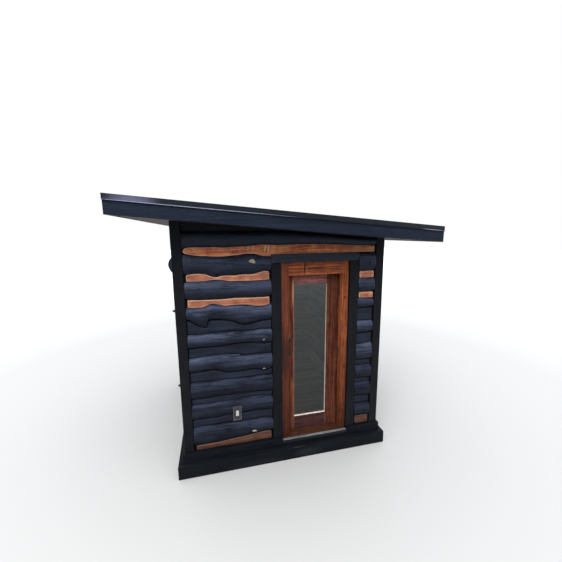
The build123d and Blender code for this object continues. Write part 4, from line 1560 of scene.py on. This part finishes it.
@dataclass
class Doorway:
    """Stained door frame with its sill and threshold."""

    wood: NaturalWood = NaturalWood(
        "frame_stain", linear(58, 26, 20), linear(108, 57, 36), linear(156, 88, 52), None, 80.0,
        sheen=0.1, contrast=0.09, crisp=1.0,
        stains_and_painted_light=(Stain(-0.012, 1.0, 0.045, 3.0, linear(104, 54, 44), 0.55),
                Stain(-0.010, 0.98, 0.060, 0.26, linear(46, 28, 28), 0.65),
                Stain(0.553, 1.488, 0.012, 0.018, linear(46, 22, 12), 0.9),
                Stain(0.560, 0.818, 0.014, 0.020, linear(42, 20, 12), 0.9),
                Stain(0.556, 0.84, 0.018, 0.09, linear(140, 72, 36), 0.3),
                Stain(0.560, 0.90, 0.060, 0.20, linear(66, 34, 26), 0.35),
                # Painted shade: the dark line stands for the shade inside the head's drying crack,
                # which the narrow cut in the mesh is too thin to cast; paler lines run along both
                # sides of it.
                Stain(0.167, 1.775, 0.0075, 0.085, linear(38, 16, 12), 1.0, 0.03),
                Stain(0.151, 1.785, 0.0060, 0.060, linear(168, 104, 70), 0.35, 0.05),
                Stain(0.188, 1.750, 0.0060, 0.045, linear(168, 104, 70), 0.35, -0.05)),
    )
    sill: NaturalWood = NaturalWood("sill_wood", linear(38, 22, 16), linear(62, 37, 27),
                                    linear(94, 60, 40), None, 60.0, 0.6, 0.0, 0.05)
    worn: WornThreshold = WornThreshold()
    crack_x: float = 0.167
    crack_z: Point = (1.735, 1.815)
    crack_half: float = 0.0009
    crack_depth: float = 0.006
    face: float = -0.890
    inner: float = 0.5275

    def head(self) -> bmesh.types.BMesh:
        """Make the head, with a drying crack in its face.

        Returns:
            The mesh.
        """
        bm = eased("door_head", 0.002)
        middle = sum(self.crack_z) / 2
        cuts = [((self.crack_x + side * self.crack_half, 0, 0), (1, 0, 0)) for side in (-1, 0, 1)]
        cuts += [((0, 0, z), (0, 0, 1)) for z in (*self.crack_z, middle)]
        for point, normal in cuts:
            parts = [*bm.verts, *bm.edges, *bm.faces]
            bmesh.ops.bisect_plane(bm, geom=parts, plane_co=point, plane_no=normal)
        for vert in bm.verts:
            on_line = abs(vert.co.x - self.crack_x) < 1e-5 and abs(vert.co.z - middle) < 1e-4
            if on_line and vert.co.y < self.face + 1e-4:
                vert.co.y += self.crack_depth
        return shaded(bm, 1.05)

    def uprights(self, place: Vector) -> float:
        """Tone of the uprights: lighter at their tops, and the right one's inner face painted
        lighter against the shade of the reveal.

        Args:
            place: a place on them.

        Returns:
            The tone there.
        """
        if place.x < DOOR_X:
            return 0.28 if place.z > 1.0 else -0.62
        # painted light: the right upright's inner face lies in the shade of the reveal and is toned
        # lighter
        inside = 0.55 if place.x < self.inner else 0.0
        return (1 + inside) * (2.1 if place.z > 1.0 else 0.60) - 1

    def build(self) -> None:
        """Build the frame."""
        uprights = shaded(eased("door_jambs", 0.0025), self.uprights)
        upright, across = self.wood.material(Grain.UPRIGHT), self.wood.material(Grain.ACROSS)
        piece(uprights, "door_frame_uprights", upright, ("door_jambs",))
        piece(self.head(), "door_frame_top", across, ("door_head",))
        piece(eased("door_sill", 0.003), "sill", self.sill.material(Grain.ACROSS),
              ("door_sill",))
        piece(eased("door_threshold", 0.0025), "threshold", self.worn.material(),
              ("door_threshold",))


@dataclass
class Leaf:
    """Door leaf: joined stiles and rails round a dark pane with pale beads."""

    wood: NaturalWood = NaturalWood(
        "leaf_wood", linear(54, 24, 22), linear(94, 50, 38), linear(138, 82, 56), None, 80.0,
        coat=0.0, sheen=0.08, contrast=0.09, crisp=1.0,
        stains_and_painted_light=(Stain(0.081, 1.560, 0.012, 0.15, linear(176, 126, 88), 0.8),
                # painted highlight: a pale line along the stile's edge beside the pane's left bead
                Stain(0.0895, 0.95, 0.0045, 0.95, linear(190, 140, 118), 0.8),
                Stain(0.064, 1.340, 0.006, 0.07, linear(66, 16, 14), 0.85),
                Stain(0.070, 0.640, 0.018, 0.09, linear(142, 92, 60), 0.6),
                Stain(0.4075, 0.262, 0.0026, 0.07, linear(170, 136, 116), 0.8)),
    )
    rail: NaturalWood = NaturalWood(
        "rail_wood", linear(48, 25, 26), linear(80, 48, 45), linear(114, 72, 66), None, 80.0,
        sheen=0.2, contrast=0.09, crisp=1.0)
    bead: NaturalWood = NaturalWood("bead_wood", linear(196, 174, 158), linear(226, 210, 198),
                                    linear(244, 236, 228))
    glass: DarkGlass = DarkGlass()
    pane_low: Place = (0.0901, -0.803, 0.323)
    pane_high: Place = (0.4044, -0.793, 1.617)
    front: float = -0.8185
    back: float = -0.7805
    bead_width: float = 0.0048
    bead_lip: float = 0.0012
    bead_ease: float = 0.0007
    stile_ease: float = 0.0018
    rail_ease: float = 0.0012
    pane_ease: float = 0.0008

    def beads(self) -> bmesh.types.BMesh:
        """Make the mitred beads on both sides of the pane.

        Returns:
            The mesh.
        """
        bm = bmesh.new()
        (x0, y0, z0), (x1, y1, z1) = self.pane_low, self.pane_high
        size = Matrix.Diagonal((x1 - x0, 1, z1 - z0, 1))
        for foot, face, side in ((y0, self.front, -1), (y1, self.back, 1)):
            place = Matrix.Translation(((x0 + x1) / 2, foot, (z0 + z1) / 2)) @ size @ LYING
            made = bmesh.ops.create_grid(
                bm, x_segments=1, y_segments=1, size=0.5, matrix=place)["verts"]
            faces = list({f for v in made for f in v.link_faces})
            ring = bmesh.ops.inset_region(
                bm, faces=faces, thickness=self.bead_width, use_boundary=True)["faces"]
            bmesh.ops.delete(bm, geom=faces, context="FACES")
            grown = bmesh.ops.extrude_face_region(bm, geom=ring, use_keep_orig=True)["geom"]
            verts = only(bmesh.types.BMVert, grown)
            bmesh.ops.translate(bm, vec=(0, face - foot, 0), verts=verts)
            for vert in verts:
                x, _, z = vert.co
                if x0 + MM < x < x1 - MM and z0 + MM < z < z1 - MM:
                    vert.co.y = foot + side * self.bead_lip
        bmesh.ops.recalc_face_normals(bm, faces=bm.faces)
        ease_edges(bm, sharp(bm.edges), self.bead_ease, 1)
        return bm

    def stiles(self, place: Vector) -> float:
        """Tone of the stiles, darker on the right and near the foot.

        Args:
            place: a place on them.

        Returns:
            The tone there.
        """
        if place.x > 0.25:
            return -0.20
        return 0.60 if place.z > 1.0 else -0.12

    def rails(self, place: Vector) -> float:
        """Tone of the rails: the top one is painted lighter against the shade it lies in under the
        head.
        """
        return 2.8 if place.z > 1.0 else -0.30

    def build(self) -> None:
        """Build the leaf's wood and glass."""
        stiles = shaded(eased("door_stiles", self.stile_ease), self.stiles)
        rails = shaded(eased("door_rails", self.rail_ease), self.rails)
        for bm, name, finish, slot, node in (
            (stiles, "leaf_stiles", self.wood.material(Grain.UPRIGHT), "door_wood", "door_stiles"),
            (rails, "leaf_rails", self.rail.material(Grain.ACROSS), "door_wood", "door_rails"),
            (self.beads(), "pane_beads", self.bead.material(Grain.UPRIGHT), "door_wood",
             "door_beads"),
            (eased("door_glass", self.pane_ease), "pane", self.glass.material(), "glass",
             "door_glass"),
        ):
            piece(bm, name, finish, (node,), Body.LEAF)


@dataclass
class Pull:
    """Bent iron bar between two screwed plates."""

    iron: PaintedMetal = PaintedMetal("black_iron", linear(26, 26, 29), linear(50, 50, 54),
                                      0.45, 0.1)
    x: float = 0.0466
    face: float = -0.820
    low: float = 0.970
    high: float = 1.102
    bar: float = 0.0058
    reach: float = 0.036
    bend: float = 0.018
    sunk: float = 0.002
    plate: Place = (0.021, 0.003, 0.041)
    plate_ease: float = 0.0012
    screw: Head = (14, 0.0034, 0.0026, 0.0016)
    screw_from_middle: float = 0.0145
    screw_proud: float = 0.0002

    def handle(self, bm: bmesh.types.BMesh) -> None:
        """Sweep the bar out of the lower plate, up and back into the upper one.

        Args:
            bm: the mesh.
        """
        foot = Matrix.Translation((self.x, self.face - self.sunk, self.low)) @ LYING
        made = bmesh.ops.create_circle(bm, segments=18, radius=self.bar, matrix=foot)["verts"]
        ring = list({edge for vert in made for edge in vert.link_edges})
        out, rise = self.reach - self.bend - self.sunk, self.high - self.low - 2 * self.bend
        centre = Vector((self.x, self.face - self.reach + self.bend, self.low + self.bend))
        for step in ((0, -out, 0), None, (0, 0, rise), None, (0, out, 0)):
            if step is None:
                spun = bmesh.ops.spin(bm, geom=ring, cent=centre, axis=(1, 0, 0), steps=7,
                                      angle=-math.pi / 2, use_merge=False)["geom_last"]
                ring = only(bmesh.types.BMEdge, spun)
                centre = centre + Vector((0, 0, rise))
            else:
                grown = bmesh.ops.extrude_edge_only(bm, edges=ring)["geom"]
                verts = only(bmesh.types.BMVert, grown)
                bmesh.ops.translate(bm, vec=step, verts=verts)
                ring = [edge for edge in only(bmesh.types.BMEdge, grown)
                        if set(edge.verts) <= set(verts)]
        bmesh.ops.holes_fill(bm, edges=bm.edges)
        for face in bm.faces:
            face.smooth = len(face.verts) == 4

    def build(self) -> None:
        """Build the pull with its plates and screws."""
        bm = bmesh.new()
        self.handle(bm)
        width, thick, tall = self.plate
        for z in (self.low, self.high):
            low = (self.x - width / 2, self.face - thick, z - tall / 2)
            high = (self.x + width / 2, self.face, z + tall / 2)
            board(bm, low, high, self.plate_ease)
            for end in (-1, 1):
                place = (self.x, self.face - thick - self.screw_proud,
                         z + end * self.screw_from_middle)
                stud(bm, place, LYING, *self.screw)
        piece(bm, "pull", self.iron.material(), ("door_pull",), Body.LEAF)


@dataclass
class Outlet:
    """Weatherproof outlet box on the front, with its insert."""

    metal: PaintedMetal = PaintedMetal(
        "outlet_metal", linear(58, 60, 64), linear(96, 98, 102),
        # painted shade: the recess inside the cover's rim is painted near-black
        stains_and_painted_light=(Stain(-0.456, 0.516, 0.070, 0.120, linear(9, 10, 12), 1.0, y=-0.925, deep=0.002),),
    )
    plastic: PaintedMetal = PaintedMetal("outlet_plastic", linear(205, 205, 198),
                                         linear(170, 170, 165))
    x: float = -0.456
    z: float = 0.516
    front: float = -0.928
    width: float = 0.075
    height: float = 0.132
    plate: float = 0.004
    box_inset: float = 0.009
    rim: float = 0.010
    recess: float = 0.003
    box_ease: float = 0.003
    plate_ease: float = 0.0016
    socket_ease: float = 0.0009
    screw: Head = (14, 0.0031, 0.0026, 0.0014)
    screw_inset: float = 0.0055
    screw_proud: float = 0.0002
    socket: Place = (0.013, 0.002, 0.0115)
    socket_from_middle: float = 0.0125

    def build(self) -> None:
        """Build the box, its cover plate and the insert."""
        bm = bmesh.new()
        inset, flange = self.box_inset, self.front + self.plate
        w, h = self.width / 2, self.height / 2
        board(bm, (self.x - w + inset, flange, self.z - h + inset),
              (self.x + w - inset, -FACE, self.z + h - inset), self.box_ease)
        board(bm, (self.x - w, self.front, self.z - h), (self.x + w, flange, self.z + h),
              self.plate_ease)
        cover = min(bm.faces, key=lambda face: (round(face.calc_center_median().y, 5),
                                                -face.calc_area()))
        bmesh.ops.inset_region(bm, faces=[cover], thickness=self.rim, depth=-self.recess)
        for side in (-1, 1):
            place = (self.x, self.front - self.screw_proud,
                     self.z + side * (h - self.screw_inset))
            stud(bm, place, LYING, *self.screw)
        piece(bm, "outlet_cover", self.metal.material(), ("outlet_box",))
        bm = bmesh.new()
        w, out, h = self.socket
        for side in (-1, 1):
            middle = self.z + side * self.socket_from_middle
            board(bm, (self.x - w, self.front - out, middle - h),
                  (self.x + w, self.front + self.recess, middle + h), self.socket_ease)
        piece(bm, "outlet_face", self.plastic.material(), ("outlet_insert",))


@dataclass
class Roof:
    """Sheet metal roof with edge trims over black fascias."""

    metal: PaintedMetal = PaintedMetal("roof_metal", linear(13, 14, 18), linear(22, 23, 28),
                                       0.34, 0.0, sheen=0.14)
    trim: PaintedMetal = PaintedMetal(
        "trim_metal", linear(5, 6, 8), linear(10, 11, 14), 0.35, 0.0, tint=(0.4, 0.46, 0.62),
        # painted reflection: the pale patch at the left end of the front trim; painted highlights:
        # the bright line along the lip and the short one near the right end
        stains_and_painted_light=(Stain(-1.085, 2.268, 0.17, 0.08, linear(104, 104, 130), 0.9, 0.0, -1.249, 0.03),
                Stain(-0.66, 2.2360, 0.72, 0.004, linear(150, 154, 172), 0.8, 0.0831, -1.249,
                      0.03),
                Stain(1.14, 2.0865, 0.12, 0.005, linear(132, 142, 158), 0.85, 0.0831, -1.249,
                      0.03)),
    )
    black: BlackStain = BlackStain("black_fascia", linear(24, 29, 40), linear(36, 43, 58),
                                   0.42, 0.55, 0.12, (0.66, 0.78, 1.0))
    ribs: int = 11
    rib_inset: float = 0.036
    reach: float = 1.2468
    thick: float = 0.1122
    screw_x: tuple[float, ...] = (-1.12, -0.56, 0.0, 0.56, 1.12)
    washer: Head = (12, 0.0075, 0.0065, 0.002)
    screw: Head = (6, 0.0042, 0.0038, 0.0036)
    washer_rise: float = 0.0012
    screw_rise: float = 0.0038
    metal_ease: float = 0.0006
    board_ease: float = 0.002
    board_end: float = 0.003

    def sheet(self) -> None:
        """Build the ribbed sheet with the washers and screws that hold it."""
        bm = eased("roof_sheet", self.metal_ease, 1)
        lo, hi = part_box("roof_sheet")
        slope = Matrix.Rotation(math.atan(SLOPE), 4, "Y")
        first, last = lo.y + self.rib_inset, hi.y - self.rib_inset
        pitch = (last - first) / (self.ribs - 1)
        for x in self.screw_x:
            flat = soffit(x) + self.thick
            for gap in range(self.ribs - 1):
                y = first + (gap + 0.5) * pitch
                stud(bm, (x, y, flat + self.washer_rise), slope, *self.washer)
                stud(bm, (x, y, flat + self.screw_rise), slope, *self.screw)
        piece(bm, "sheet_metal", self.metal.material(), ("roof_sheet",))

    def edges(self) -> None:
        """Build the fascias, their ends out to the trims, and the folded trims over them."""
        for node, name, grain in (("fascias_rake", "rake_boards", Grain.ACROSS),
                                  ("fascias_eave", "eave_boards", Grain.DEEP)):
            bm = eased(node, self.board_ease)
            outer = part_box(node)[1].x
            for vert in bm.verts:
                if abs(vert.co.x) > outer - self.board_end:
                    vert.co.x += math.copysign(self.reach - outer, vert.co.x)
            piece(bm, name, self.black.material(grain), (node,))
        for node, name in (("rake_trims", "rake_flashing"), ("eave_trims", "eave_flashing")):
            piece(eased(node, self.metal_ease), name, self.trim.material(),
                  (node,))

    def build(self) -> None:
        """Build the roof's covering and edges."""
        self.sheet()
        self.edges()


@dataclass
class Studio:
    """Pale floor, soft overhead sky, a lamp and the camera."""

    lamp_place: Place = (-2.2, -4.6, 6.2)
    lamp_aim: Place = (0.0, 0.0, 0.9)
    lamp_size: float = 3.0
    lamp_power: float = 190.0
    lamp_colour: Colour = (1.0, 0.98, 0.95)
    zenith: Colour = (0.90, 0.95, 1.0)
    shares: tuple[Point, ...] = ((0.0, 0.04), (0.25, 0.12), (0.55, 0.85), (0.80, 1.0))
    level: float = 2.5
    floor_radius: float = 40.0
    floor_level: float = -0.0005
    darkening: Point = (2.6, 4.4)
    whitening: Point = (4.0, 16.0)
    floor_near: Colour = (0.215, 0.19, 0.15)
    floor_far: Colour = (0.035, 0.035, 0.03)
    floor_seen: Colour = (0.485, 0.47, 0.455)
    camera_place: Place = (-0.596, -3.247, 2.068)
    camera_turn: Place = (80.58965, 0.49327, -13.24175)
    lens: float = 18.365
    sensor: float = 36.0

    def world(self) -> None:
        """Light the scene softly from above, with white behind the cabin."""
        world = bpy.data.worlds.new("studio_sky")
        bpy.context.scene.world = world
        world.use_nodes = True
        sky = Nodes(world.node_tree)
        direction = sky.node("ShaderNodeTexCoord").outputs["Generated"]
        up = sky.node("ShaderNodeSeparateXYZ", {0: direction}).outputs[2]
        stops = [(place, tuple(channel * share for channel in self.zenith))
                 for place, share in self.shares]
        links = {"Color": sky.ramp(up, *stops), "Strength": self.level}
        soft = sky.node("ShaderNodeBackground", links).outputs[0]
        white = sky.node("ShaderNodeBackground", {"Color": (1, 1, 1, 1)}).outputs[0]
        mixed = sky.node("ShaderNodeMixShader", {0: sky.backdrop(), 1: soft, 2: white})
        sky.node("ShaderNodeOutputWorld", {0: mixed.outputs[0]})

    def floor(self) -> None:
        """Lay the pale floor, which keeps its shadow and turns white far out."""
        bm = bmesh.new()
        bmesh.ops.create_circle(bm, cap_ends=True, segments=96, radius=self.floor_radius,
                                matrix=Matrix.Translation((0, 0, self.floor_level)))
        mesh = bpy.data.meshes.new("floor")
        bm.to_mesh(mesh)
        bm.free()
        made = bpy.data.objects.new("floor", mesh)
        bpy.context.scene.collection.objects.link(made)
        shade = Shader("floor")
        away = shade.node("ShaderNodeVectorMath", {0: shade.place}, operation="LENGTH")
        away, seen = away.outputs["Value"], shade.backdrop()
        dark, white = shade.span(away, *self.darkening), shade.span(away, *self.whitening)
        colour = shade.blend(dark, self.floor_near, self.floor_far)
        mesh.materials.append(shade.dress(
            Base_Color=shade.blend(seen, colour, self.floor_seen), Roughness=0.9,
            Emission_Color=(1.0, 1.0, 1.0),
            Emission_Strength=shade.sums("MULTIPLY", seen, white),
        ))

    def lamp(self) -> None:
        """Hang the soft lamp."""
        data = bpy.data.lights.new("lamp", "AREA")
        data.shape, data.size = "DISK", self.lamp_size
        data.energy, data.color = self.lamp_power, self.lamp_colour
        lamp = bpy.data.objects.new("lamp", data)
        lamp.location = self.lamp_place
        aim = Vector(self.lamp_aim) - Vector(self.lamp_place)
        lamp.rotation_euler = aim.to_track_quat("-Z", "Y").to_euler()
        bpy.context.scene.collection.objects.link(lamp)

    def camera(self) -> None:
        """Stand the camera at the picture's angle."""
        data = bpy.data.cameras.new("camera")
        data.lens, data.sensor_width = self.lens, self.sensor
        made = bpy.data.objects.new("camera", data)
        made.location = self.camera_place
        made.rotation_euler = Euler([math.radians(a) for a in self.camera_turn], "XYZ")
        bpy.context.scene.collection.objects.link(made)
        bpy.context.scene.camera = made

    def build(self) -> None:
        """Set up the whole studio."""
        bpy.context.scene.view_settings.view_transform = "Standard"
        self.world()
        self.floor()
        self.lamp()
        self.camera()


def dress_solids() -> None:
    """Give the walls, floor, roof framing and hinges their finishes."""
    across, deep, upright = Grain.ACROSS, Grain.DEEP, Grain.UPRIGHT
    # the soffit's dark brown is partly the boards' own colour and partly painted shade under the
    # roof
    lining, soffit_boards = Planed(), Planed("soffit_boards", linear(80, 58, 50),
                                             linear(52, 37, 32), eaves=0.93)
    bronze = PaintedMetal("dark_bronze", linear(40, 30, 26), linear(58, 44, 38), 0.45, 0.0)
    dress_nodes(("front_wall_left", "front_wall_right", "front_wall_over_door", "back_wall"),
                lining.material(across, upright))
    dress_nodes(("left_wall", "right_wall"), lining.material(deep, upright))
    dress_nodes(("hinges_on_jamb", "hinges_on_leaf"), bronze.material())
    dress_nodes(("floor_deck",), Planed("floor_boards").material(across, deep))
    dress_nodes(("floor_joists", "rafters"), Planed("framing", board=3.0).material(deep, across))
    dress_nodes(("soffit", "roof_deck"), soffit_boards.material(across, deep))


def main() -> None:
    """Build the cabin's looks piece by piece."""
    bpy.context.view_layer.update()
    finishes = Finishes()
    for wall, logs, strips, step, rows in (
        (FRONT, ("front_siding_left", "front_siding_right"), "front_strips", 0.005, 22),
        (RIGHT, ("right_siding",), "side_strips", 0.009, 16),
        (BACK, ("back_siding",), "back_strips", 0.009, 16),
        (LEFT, ("left_siding",), "side_strips", 0.009, 16),
    ):
        Siding(wall, logs, (strips,), finishes, step, rows).build()
    CutKnots(EndGrain()).build()
    Carpentry(finishes.boards).build()
    Doorway().build()
    Leaf().build()
    Pull().build()
    Outlet().build()
    Roof().build()
    dress_solids()
    Studio().build()


if __name__ == "__main__":
    main()
